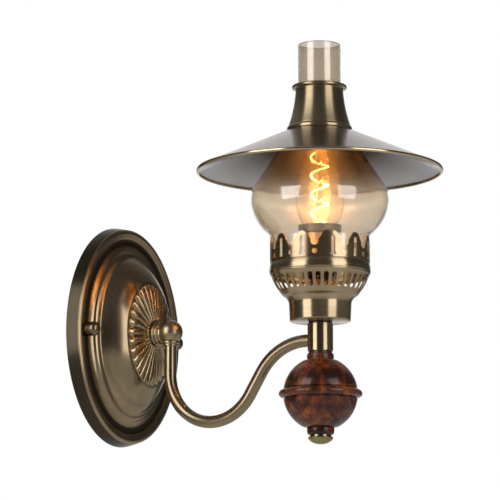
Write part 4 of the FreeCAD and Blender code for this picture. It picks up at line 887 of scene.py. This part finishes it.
def punch(outline):
    """A cutter through a flat strip, from a ring of (across, up, bow)."""
    reach = 4 * MM
    points = bowed(outline + [outline[0]], 0.7)
    piece = drawn("punch", [Vector((point.x, 0, point.y)) * MM - OUT * reach for point in points[:-1]])
    bpy.ops.mesh.select_all(action="SELECT")
    bpy.ops.mesh.edge_face_add()
    extrude(OUT * reach * 2)
    faced_out()
    return piece


def opened(piece, half, *levels):
    """Take away the ends of a strip, half its width from its middle, and its faces at some heights."""
    near = 0.02
    choose(piece)
    edit("FACE", "DESELECT")
    bpy.ops.object.mode_set(mode="OBJECT")
    for face in piece.data.polygons:
        across, up = abs(face.center.x) / MM, face.center.z / MM
        face.select = min([abs(across - half)] + [abs(up - level) for level in levels]) < near
    bpy.ops.object.mode_set(mode="EDIT")
    bpy.ops.mesh.delete(type="FACE")
    leave_edit()


def rolled(piece, radius_at, pitch_at, turn, rise):
    """Roll a flat strip round the lamp's axis, X to an angle and Y to a depth of the wall, and lift it."""
    def place(point):
        radius = radius_at(point.z) - point.y
        angle = turn + pitch_at(point.x)
        return Vector((AXIS.x + radius * math.cos(angle), AXIS.y + radius * math.sin(angle), point.z))

    pressed(piece, place)
    piece.data.transform(Matrix.Translation(UP * rise))


# The outside of the cup's flare, from its foot up to the bead under the gallery
FLARE = [(35.2, 24.6), (45.2, 41.0, -0.04), (46.2, 43.2)]


def cup_radius(height):
    """The radius of the cup's flare at a height in millimetres over the cup's foot."""
    points = bowed(FLARE, 0.4)
    for before, after in zip(points, points[1:]):
        if before.y <= height <= after.y:
            share = (height - before.y) / (after.y - before.y)
            return before.x + (after.x - before.x) * share
    return points[-1].x


class SCONCE_OT_cup(bpy.types.Operator):
    """Spin the burner cup and punch its ring of slots"""

    bl_idname = "sconce.cup"
    bl_label = "Burner cup"

    def execute(self, context):
        burner = context.scene.sconce_burner
        base = AXIS + UP * foot("burner_cup")
        wall = 0.9
        low, high = 28.4, 42.6
        slot_low, slot_high = 29.2, 41.7
        steps = burner.slots * 4
        joint = cup_radius(low)
        flare = FLARE[0][0]
        lower = spun("cup_foot", [
            (joint, low), (*FLARE[0], 0.02), (29.6, 17.2, -0.13), (28.9, 1.7), (27.2, 0.0, -QUARTER),
            (5.1, 0.0), (5.1, wall), (27.2, wall), (28.0, 1.7, QUARTER), (28.7, 16.8),
            (flare - wall, FLARE[0][1], 0.09), (joint - wall, low, -0.02)], base, steps, closed=False,
            step=0.9)
        joint = cup_radius(high)
        upper = spun("cup_mouth", [
            (joint - wall, high), (45.3, 43.2), (47.0, 47.4, -0.13), (46.1, 54.6, -0.04),
            (46.0, 55.4), (46.4, 55.6, 0.2), (46.8, 55.2, 0.2), (47.1, 54.4), (47.9, 48.6, 0.04),
            (47.7, 46.2, 0.12), (46.4, 43.7, 0.13), (joint, high)], base, steps, closed=False, step=0.6)
        pitch = math.tau / burner.slots
        width = cup_radius((low + high) / 2) * pitch
        band = slab("cup_band", width, low, high, wall, 4, 8)
        half = burner.slot_width / MM / 2
        first, last = slot_low + half, slot_high - half
        cut(band, punch([
            (half, first, QUARTER), (half, last), (0.0, last + half, QUARTER), (-half, last, QUARTER),
            (-half, first), (0.0, first - half, QUARTER)]))
        opened(band, width / 2, low, high)
        bands = [band] + [copied(band, f"cup_band_{index}") for index in range(1, burner.slots)]
        for index, strip in enumerate(bands):
            rolled(strip, lambda z: (cup_radius(z / MM) - wall) * MM, lambda x: x / (width * MM) * pitch,
                   pitch * index, base.z)
        cup = joined("burner_cup_spun", [lower, upper] + bands)
        tidy(cup, 34)
        dressed(cup, "cup brass", "lamp", "burner_cup")
        return {"FINISHED"}


def arched(name, radius, span, middle, height, wall):
    """A flat unit of the gallery: arched on top, a gap and a hole halved by each side, and one slot.

    The slot stands at a middle across the unit, and the unit's span is an angle.
    """
    half = radius * span / 2
    unit = slab(name, half * 2, 0.05, height, wall, 15, 11)
    half_gap = 3.9
    arch = 12.05
    over = 2.0
    gap_low = height - 13.8
    hole_up = height - 19.4
    hole = 2.55
    for side in (-1, 1):
        edge = half * side
        inner = edge - half_gap * side
        arch_end = edge - arch * side
        cut(unit, punch([
            (edge, gap_low), (inner, gap_low + half_gap, -QUARTER * side), (inner, height - 7.8),
            (arch_end + 5.1 * side, height - 3.6, 0.06 * side), (arch_end, height + 0.01, -0.15 * side),
            (arch_end, height + over), (edge + over * side, height + over), (edge + over * side, gap_low)]))
        cut(unit, punch([
            (edge + hole, hole_up, QUARTER), (edge, hole_up + hole, QUARTER),
            (edge - hole, hole_up, QUARTER), (edge, hole_up - hole, QUARTER)]))
    slot = 2.0
    spread = 3.5
    slot_low, flare_up, shoulder = height - 22.6, height - 18.8, height - 6.5
    cut(unit, punch([
        (middle + spread, slot_low), (middle + slot, flare_up, 0.097), (middle + slot, shoulder),
        (middle, shoulder + slot, QUARTER), (middle - slot, shoulder, QUARTER),
        (middle - slot, flare_up), (middle - spread, slot_low, 0.097)]))
    opened(unit, half)
    return unit


class SCONCE_OT_gallery(bpy.types.Operator):
    """Punch the gallery's arches, slots and holes, and roll the strip round"""

    bl_idname = "sconce.gallery"
    bl_label = "Gallery"

    def execute(self, context):
        burner = context.scene.sconce_burner
        radius = 47.4
        wall = 0.8
        base_z = top("burner_cup")
        height = (top("gallery_crown") - base_z) / MM
        pitch = burner.arch_pitch
        wide = math.tau - pitch * (burner.arches - 1)
        unit = arched("gallery_unit", radius, pitch, 0, height, wall)
        units = [unit] + [copied(unit, f"gallery_unit_{index}") for index in range(2, burner.arches)]
        turns = [burner.first_gap + pitch * (index + 0.5) for index in range(burner.arches - 1)]
        units.append(arched("gallery_seam", radius, wide, (wide - pitch) / 2 * radius, height, wall))
        turns.append(burner.first_gap - wide / 2)
        for strip, turn in zip(units, turns):
            rolled(strip, lambda z: (radius - wall) * MM, lambda x: x / (radius * MM), turn, base_z)
        foot_ring = spun("gallery_foot", [
            (45.05, -6.0), (45.85, -6.0), (45.85, 0.0), (46.9, 0.0), (46.9, 0.9), (43.4, 0.9),
            (43.4, 0.0), (45.05, 0.0)], AXIS + UP * base_z, 180, step=0.4)
        gallery = joined("gallery_rolled", units + [foot_ring])
        tidy(gallery, 34)
        dressed(gallery, "gallery brass", "lamp", "gallery_crown")
        return {"FINISHED"}


# Lampholder, bulb, chimney and shade

class SCONCE_OT_lampholder(bpy.types.Operator):
    """Turn the lampholder's casing and its ring"""

    bl_idname = "sconce.lampholder"
    bl_label = "Lampholder"

    def execute(self, context):
        base, height = stand("holder_body")
        casing = spun("holder_casing", [
            (15.8, 0.0), (17.6, 0.0), (17.6, height - 0.6), (17.0, height, QUARTER), (15.8, height)],
            base, 88, step=0.5)
        dressed(casing, "holder brass", "lamp", "holder_body")
        base, height = stand("holder_ring")
        ring = spun("holder_ring_turned", [
            (17.7, 0.0), (19.8, 0.0), (20.4, 0.6, QUARTER), (20.4, height - 0.8), (19.6, height, QUARTER),
            (18.3, height), (17.7, height - 0.6, QUARTER)], base, 96, step=0.5)
        dressed(ring, "holder ring", "lamp", "holder_ring")
        return {"FINISHED"}


class SCONCE_OT_bulb(bpy.types.Operator):
    """Blow the bulb and wind its glowing filament"""

    bl_idname = "sconce.bulb"
    bl_label = "Bulb and filament"

    def execute(self, context):
        base = AXIS + UP * foot("bulb_contact")
        wall = 0.8
        tip = 107.4
        envelope = spun("bulb_glass", [
            (11.0, 16.0), (11.8, 16.0), (11.8, 23.0), (13.0, 25.2, 0.1), (16.9, 28.4, 0.02),
            (22.6, 43.0, -0.06), (23.0, 48.4, -0.03), (21.6, 64.0, -0.035), (14.6, 95.6, -0.02),
            (9.0, 103.6, -0.1), (0.0, tip, -0.1), (0.0, tip - wall), (8.5, 102.9, 0.1),
            (13.8, 95.4, 0.1), (20.8, 64.0, 0.02), (22.2, 48.4, 0.035), (21.8, 43.0, 0.03),
            (16.2, 28.8, 0.06), (12.3, 25.6, -0.02), (11.0, 23.0, -0.1), (11.0, 16.0)],
            base, 96, closed=False, step=1.0, smooth=50)
        dressed(envelope, "bulb glass", "bulb", "bulb_envelope")
        self.filament(base.z + 32.0 * MM, context.scene.sconce_bulb.turns)
        return {"FINISHED"}

    def filament(self, start, turns):
        """A coil of wire wound upwards from its lower lead."""
        radius = 8.3 * MM
        wire = 0.62 * MM
        pitch = 17.6 * MM
        turn_steps = 24
        lead, straight, bend = 5 * MM, 4 * MM, 0.6 * MM
        side = AXIS + ACROSS * radius + UP * start
        leave_edit()
        bpy.ops.mesh.primitive_circle_add(vertices=12, radius=wire, location=side - UP * lead)
        coil = begun("filament_coil")
        extrude(UP * straight)
        bpy.ops.transform.translate(value=UP * bend)
        bpy.ops.transform.rotate(value=math.radians(-60), orient_axis="X", center_override=side)
        for _ in range(round(turns * turn_steps)):
            bpy.ops.mesh.extrude_region_move()
            bpy.ops.transform.translate(value=UP * pitch / turn_steps)
            bpy.ops.transform.rotate(value=-math.tau / turn_steps, orient_axis="Z", center_override=AXIS)
        tidy(coil, 60)
        modify(coil, "SOLIDIFY", thickness=0.2 * MM, offset=-1)
        dressed(coil, "hot filament", "bulb", "filament")


class SCONCE_OT_chimney(bpy.types.Operator):
    """Blow the glass chimney"""

    bl_idname = "sconce.chimney"
    bl_label = "Glass chimney"

    def execute(self, context):
        wall = 1.8
        outside = [
            (45.6, 0.0), (45.6, 20.5), (51.0, 29.0, 0.097), (65.6, 58.5, -0.097), (61.2, 74.2, -0.074),
            (24.0, 129.8), (20.4, 138.5, 0.074), (20.4, 208.9)]
        lip = [(20.4 - wall / 2, 210.0, -0.2), (20.4 - wall, 208.9, -0.2)]
        inside = [
            (20.4 - wall, 138.5), (24.0 - wall, 129.8, -0.074), (61.2 - wall, 74.2),
            (65.6 - wall, 58.5, 0.074), (51.0 - wall, 29.0, 0.097), (45.6 - wall, 20.5, -0.097),
            (45.6 - wall, 0.0)]
        chimney = spun("chimney_blown", outside + lip + inside, AXIS + UP * foot("chimney"), 144,
                       step=1.4, smooth=60)
        dressed(chimney, "amber glass", "chimney", "chimney")
        return {"FINISHED"}


class SCONCE_OT_shade(bpy.types.Operator):
    """Spin the shade's brim with its wired rim, and the collar on it"""

    bl_idname = "sconce.shade"
    bl_label = "Shade"

    def execute(self, context):
        wall = 0.9
        roll = 1.3
        rim = 116.0
        fall = 38.9
        throat = 26.3
        middle = -fall - roll / 2
        brim = spun("shade_spun", [
            (throat, 0.0), (rim - roll, -fall), (rim - roll, middle - roll, -0.1),
            (rim, middle - roll * 1.2, -0.186), (rim + roll, middle, QUARTER),
            (rim, middle + roll * 1.2, QUARTER), (rim - roll * 0.9, middle + roll * 0.5 + wall, -0.05),
            (throat, wall)], AXIS + UP * (top("shade_brim") - wall * MM), 192, step=0.7, smooth=30)
        dressed(brim, "shade metal", "shade", "shade_brim")
        base, height = stand("shade_collar")
        neck = height - 3.5
        collar = spun("shade_collar_spun", [
            (30.0, 0.0), (30.9, 0.0), (31.1, 1.6, -0.12), (30.6, 3.2, -0.15), (29.6, 4.9, 0.15),
            (22.7, neck - 1.0, 0.035), (23.2, neck - 0.2, 0.1), (25.4, neck + 0.1, 0.05),
            (26.2, neck + 1.5, -0.2), (25.2, neck + 3.1, -0.2), (22.4, height, -0.08), (21.8, height),
            (21.8, neck), (29.6 - wall, 5.0, -0.035), (30.0, 3.2)], base, 112, step=0.6, smooth=36)
        dressed(collar, "collar metal", "shade", "shade_collar")
        return {"FINISHED"}


# The finishes of this sconce

def brass(name, tone, **settings):
    """Antique brass in the colours of the settings, brighter or darker by a tone."""
    colours = bpy.context.scene.sconce_finish
    return antique_brass(name, scaled(colours.brass, tone), scaled(colours.brass_shadow, tone), **settings)


def plate_painted_shade(finish):
    """Painted shade: a dark tint on the side of the plate, in its cove and along its ridge."""
    side = finish.part(1).between(-12.8 * MM, -12.2 * MM)
    oval = finish.reach((0, 0, 0), (0, 2), [half * MM for half in PLATE_RIM])
    cove = oval.between(0.8, 0.84) * oval.between(0.9, 0.85)
    groove = oval.between(0.625, 0.65) * oval.between(0.69, 0.66)
    return (side * 0.9 + cove * 0.05 + groove * 0.2).clamped()


def flute_painted_shade(finish):
    """Painted shade between the ridges of the rosette."""
    return finish.own("hollow") ** 0.6 * 0.98


def stem_painted_shade(finish):
    """Painted shadow in the groove at the top of the stem."""
    edge = top("stem_tube")
    return finish.part(2).between(edge - 1.8 * MM, edge - 1.4 * MM) * 0.85


def shade_metal(name):
    """Grey mauve spun metal of the shade, with a brass wire in its rim. Beneath, painted light: a pale
    painted sheen at the rim and darker painted shade, a warm brown of painted bulb glow, toward the
    chimney.
    """
    colours = bpy.context.scene.sconce_finish
    finish = Finish(name, Metallic=1.0, IOR=1.5, Anisotropic=0.6, Anisotropic_Rotation=0.25)
    lines = finish.noise(1, (90, 90, 1500), roughness=0.6)
    clouds = finish.noise(16)
    rise = finish.split(finish.node("ShaderNodeNewGeometry", output="Normal"), 2)
    # Painted shade: the underside darkens toward the chimney, into a brown that paints the bulb's warm glow
    near = finish.reach(AXIS).between(108 * MM, 62 * MM)
    painted_underside = finish.mixed(near, colours.underside_painted_sheen, (0.045, 0.018, 0.006))
    # Painted light: faces turned down take the painted underside in place of the top's colour
    colour = finish.mixed(rise.between(0.1, -0.1), colours.shade_top, painted_underside)
    colour = finish.mixed(clouds.between(0.3, 0.7) * 0.22 + lines * 0.1, colour, (0.02, 0.016, 0.014))
    rim = finish.reach(AXIS).between(114.3 * MM, 114.7 * MM)
    colour = finish.mixed(rim, colour, colours.brass)
    finish.feed(Base_Color=colour, Roughness=lines * 0.06 + clouds * 0.06 + 0.13)
    finish.bumped(lines, 0.003 * MM)
    return finish.material


def chimney_glass(name):
    """Champagne glass of the chimney, smokier above its globe, and darkest under the shade with painted
    shade.
    """
    colours = bpy.context.scene.sconce_finish
    clear = tuple(colours.glass)
    smoke = tuple(colours.smoke)
    # Painted shade: a darker smoke in the band of glass under the shade
    painted_shade_tint = scaled(smoke, 0.8, 0.72, 0.62)
    stops = [(0.12, clear), (0.25, painted_shade_tint), (0.75, painted_shade_tint), (0.95, smoke)]
    return blown_glass(name, clear, 0.05, (0.86, 0.78, 0.66), coat=1.0, tints=(0.1, 0.24, stops))


def bulb_glass(name):
    """Glass of the bulb with a painted glow of its light."""
    low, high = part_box("filament")
    painted_glow = (scaled(bpy.context.scene.sconce_bulb.glow, 0.12), low.z, high.z)
    return blown_glass(name, (0.98, 0.94, 0.87), 0.05, (1.0, 0.95, 0.88), painted_glow)


def hot_filament(name):
    """The glowing wire of the bulb."""
    bulb = bpy.context.scene.sconce_bulb
    return glowing(name, tuple(bulb.glow), bulb.filament_strength)


FINISHES = {
    "plate brass": partial(brass, tone=0.72, brush=(1500, 1500, 30), rough=0.22, painted_shade=plate_painted_shade),
    "rosette brass": partial(brass, tone=0.95, brush=(200, 200, 200), rough=0.16, painted_shade=flute_painted_shade),
    "nut brass": partial(brass, tone=0.45, brush=(200, 200, 200), rough=0.22),
    "turned brass": partial(brass, tone=0.85, rough=0.22),
    "ball brass": partial(brass, tone=0.72, rough=0.3),
    "stem brass": partial(brass, tone=0.9, rough=0.2, painted_shade=stem_painted_shade, spread=0.6),
    "arm brass": partial(brass, tone=0.64, brush=(120, 120, 120), rough=0.22, wear=0.2, grain=0.001),
    "cup brass": partial(brass, tone=0.92, rough=0.25, spread=0.8, grain=0.003),
    "gallery brass": partial(brass, tone=0.88, rough=0.25, spread=0.8, grain=0.003),
    "dark brass": partial(brass, tone=0.34, rough=0.26),
    "holder brass": partial(antique_brass, light=(0.62, 0.4, 0.18), dark=(0.34, 0.2, 0.09), rough=0.3),
    "holder ring": partial(brass, tone=0.3, rough=0.3),
    "polished brass": partial(antique_brass, light=(0.34, 0.3, 0.135), dark=(0.14, 0.12, 0.05), rough=0.2),
    "shade metal": shade_metal,
    "collar metal": partial(brass, tone=0.8, rough=0.3, spread=0.8, grain=0.003),
    "lacquered wood": lacquered_wood,
    "amber glass": chimney_glass,
    "bulb glass": bulb_glass,
    "hot filament": hot_filament,
    "zinc": partial(plain_metal, colour=(0.55, 0.55, 0.53), rough=0.36, brush=(400, 400, 400)),
    "contact brass": partial(plain_metal, colour=(0.7, 0.56, 0.3), rough=0.28),
    "cap metal": partial(plain_metal, colour=(0.62, 0.6, 0.56)),
    "porcelain": partial(moulded, colour=(0.8, 0.78, 0.72), rough=0.25, coat=0.6),
    "block plastic": partial(moulded, colour=(0.75, 0.73, 0.66), rough=0.45),
    "black glass": partial(moulded, colour=(0.012, 0.012, 0.014), rough=0.15, coat=0.5),
    "stem glass": partial(blown_glass, tint=(0.95, 0.93, 0.88)),
    "brown sleeve": partial(moulded, colour=(0.12, 0.045, 0.02)),
    "blue sleeve": partial(moulded, colour=(0.03, 0.1, 0.38)),
    "green sleeve": partial(moulded, colour=(0.06, 0.3, 0.05)),
    "support wire": partial(plain_metal, colour=(0.4, 0.38, 0.36), rough=0.4),
}


def made(name):
    """The material of a name, made when it is first asked for."""
    return bpy.data.materials.get(name) or FINISHES[name](name)


# Fittings that keep the shapes of their solids

FITTINGS = {
    "zinc": ("mounting_strap", "strap_studs", "earth_screw", "entry_nipple", "lock_washer", "nipple_nut",
             "stem_top_plug", "stem_bottom_plug", "tie_rod", "holder_nipple", "cup_washer", "cup_nut",
             "block_screws", "terminal_screws"),
    "dark brass": ("holder_cap",),
    "contact brass": ("screw_shell", "centre_contact", "bulb_contact"),
    "cap metal": ("bulb_cap",),
    "porcelain": ("holder_insulator",),
    "block plastic": ("terminal_block",),
    "black glass": ("bulb_insulator",),
    "stem glass": ("filament_stem",),
    "support wire": ("filament_supports",),
    "brown sleeve": ("live_wire",),
    "blue sleeve": ("neutral_wire",),
    "green sleeve": ("earth_wire",),
}


def coated(node, finish):
    """Give the solid of a node a finish on all its faces."""
    materials = NODES[node].data.materials
    if not materials:
        materials.append(finish)
    for slot in range(len(materials)):
        materials[slot] = finish


class SCONCE_OT_fittings(bpy.types.Operator):
    """Give the fittings behind the plate, in the stem and in the lampholder their finishes"""

    bl_idname = "sconce.fittings"
    bl_label = "Fittings"

    def execute(self, context):
        for finish, nodes in FITTINGS.items():
            for node in nodes:
                coated(node, made(finish))
        return {"FINISHED"}


# Floor, background, lamps and camera

def softbox(name, power, width, place, aim, height=1.6):
    """A white softbox at a place, turned to a point."""
    leave_edit()
    bpy.ops.object.light_add(type="AREA", location=place)
    lamp = bpy.context.object
    lamp.name = name
    lamp.data.shape = "RECTANGLE"
    lamp.data.size = width
    lamp.data.size_y = height
    lamp.data.energy = power
    lamp.rotation_euler = (aim - place).to_track_quat("-Z", "Y").to_euler()


def backdrop_world(back):
    """A white background, a soft even light, and a studio with dark and pale parts for what is shiny.

    What is shiny shows a dark room round the camera, the white background behind the lamp, a pale
    ceiling over that background and a dim wall on the right.
    """
    world = bpy.data.worlds.new("Studio")
    bpy.context.scene.world = world
    world.use_nodes = True
    studio = Tree(world.node_tree)
    way = studio.node("ShaderNodeTexCoord", output="Generated")

    def towards(direction):
        """How far a ray goes along a direction."""
        return studio.node("ShaderNodeVectorMath", {"operation": "DOT_PRODUCT"}, {0: way, 1: direction},
                           output="Value")

    ahead = towards(back)
    side = towards(Vector((-back.y, back.x, 0)).normalized())
    rise = studio.split(way, 2)
    ceiling = rise.between(0.2, 0.65) * (ahead.between(-0.2, -0.8) * 0.4 + 0.1) * side.between(0.9, -0.2)
    wall = side.between(0.45, 0.95) * rise.between(0.3, -0.15) * 0.17
    behind = ahead.between(-0.88, -0.97)
    pale = behind.maths("MAXIMUM", behind, ceiling + wall + 0.045)
    seen = studio.ray("Camera")
    glossy = studio.ray("Glossy")
    white = seen.maths("MAXIMUM", seen, studio.ray("Transmission"))
    level = 0.7 * (1 - glossy) + pale * glossy
    background = studio.node("ShaderNodeBackground", {}, {
        "Color": (1, 1, 1, 1), "Strength": white + level * (1 - white)})
    end = studio.tree.nodes.new("ShaderNodeOutputWorld")
    studio.tree.links.new(background.socket, end.inputs["Surface"])


class SCONCE_OT_stage(bpy.types.Operator):
    """Set up the floor, the background, the lamps and the camera"""

    bl_idname = "sconce.stage"
    bl_label = "Stage"

    def execute(self, context):
        stage = context.scene.sconce_stage
        target = Vector(stage.target)
        lean = math.cos(stage.elevation)
        back = Vector((math.sin(stage.azimuth) * lean, -math.cos(stage.azimuth) * lean,
                       math.sin(stage.elevation)))
        leave_edit()
        bpy.ops.object.camera_add(location=target + back * stage.distance,
                                  rotation=back.to_track_quat("Z", "Y").to_euler())
        camera = bpy.context.object
        camera.data.lens = stage.lens
        camera.data.sensor_width = 36
        context.scene.camera = camera
        self.floor(CAD_BOX[0].z - stage.drop)
        right = Vector((math.cos(stage.azimuth), math.sin(stage.azimuth), 0))
        front = Vector((back.x, back.y, 0)).normalized()
        middle = AXIS + UP * 80 * MM
        softbox("Left softbox", stage.key_power, 1.0,
                middle - right * 1.3 + front * 1.05 + UP * 0.35, middle)
        softbox("Right softbox", stage.fill_power, 0.95,
                middle + right * 1.15 + front * 1.18 + UP * 0.3, middle)
        self.bulb_light(context.scene.sconce_bulb)
        backdrop_world(back)
        context.scene.view_settings.view_transform = "Standard"
        return {"FINISHED"}

    def floor(self, level):
        """A pale floor far below the lamp."""
        leave_edit()
        bpy.ops.mesh.primitive_plane_add(size=14, location=(0, 0, level))
        floor = bpy.context.object
        floor.name = "Studio floor"
        ground = Finish("pale floor", Roughness=0.8)
        ground.feed(Base_Color=ground.mixed(ground.noise(2), (0.66, 0.66, 0.66), (0.63, 0.63, 0.63)))
        floor.data.materials.append(ground.material)

    def bulb_light(self, bulb):
        """The light that the filament throws."""
        leave_edit()
        low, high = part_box("filament")
        bpy.ops.object.light_add(type="POINT", location=AXIS + UP * (low.z + high.z) / 2)
        glow = bpy.context.object
        glow.name = "Bulb light"
        glow.data.energy = bulb.lamp_power
        glow.data.color = bulb.glow
        glow.data.shadow_soft_size = 12 * MM
        glow.visible_transmission = False


# Panel and registration

STEPS = (
    SCONCE_OT_wall_plate, SCONCE_OT_rosette, SCONCE_OT_plate_fittings, SCONCE_OT_arm, SCONCE_OT_stem,
    SCONCE_OT_wood, SCONCE_OT_cup, SCONCE_OT_gallery, SCONCE_OT_lampholder, SCONCE_OT_bulb,
    SCONCE_OT_chimney, SCONCE_OT_shade, SCONCE_OT_fittings, SCONCE_OT_stage,
)
GROUPS = {
    "sconce_plate": PlateSettings,
    "sconce_burner": BurnerSettings,
    "sconce_bulb": BulbSettings,
    "sconce_finish": FinishSettings,
    "sconce_stage": StageSettings,
}


class SCONCE_PT_panel(bpy.types.Panel):
    """All steps and settings of the sconce"""

    bl_idname = "SCONCE_PT_panel"
    bl_label = "Wall Sconce"
    bl_space_type = "VIEW_3D"
    bl_region_type = "UI"
    bl_category = "Sconce"

    def draw(self, context):
        for step in STEPS:
            self.layout.operator(step.bl_idname)
        for name in GROUPS:
            group = getattr(context.scene, name)
            column = self.layout.column()
            for field in group.bl_rna.properties:
                if field.identifier not in ("rna_type", "name"):
                    column.prop(group, field.identifier)


def register():
    """Make the settings, the steps and the panel known."""
    for kind in (*GROUPS.values(), *STEPS, SCONCE_PT_panel):
        bpy.utils.register_class(kind)
    for name, group in GROUPS.items():
        setattr(bpy.types.Scene, name, PointerProperty(type=group))


def unregister():
    """Take them away again."""
    for name in GROUPS:
        delattr(bpy.types.Scene, name)
    for kind in reversed((*GROUPS.values(), *STEPS, SCONCE_PT_panel)):
        bpy.utils.unregister_class(kind)


def main():
    """Build every piece in order."""
    register()
    for step in STEPS:
        maker = getattr(bpy.ops.sconce, step.bl_idname.split(".")[1])
        maker()


if __name__ == "__main__":
    main()
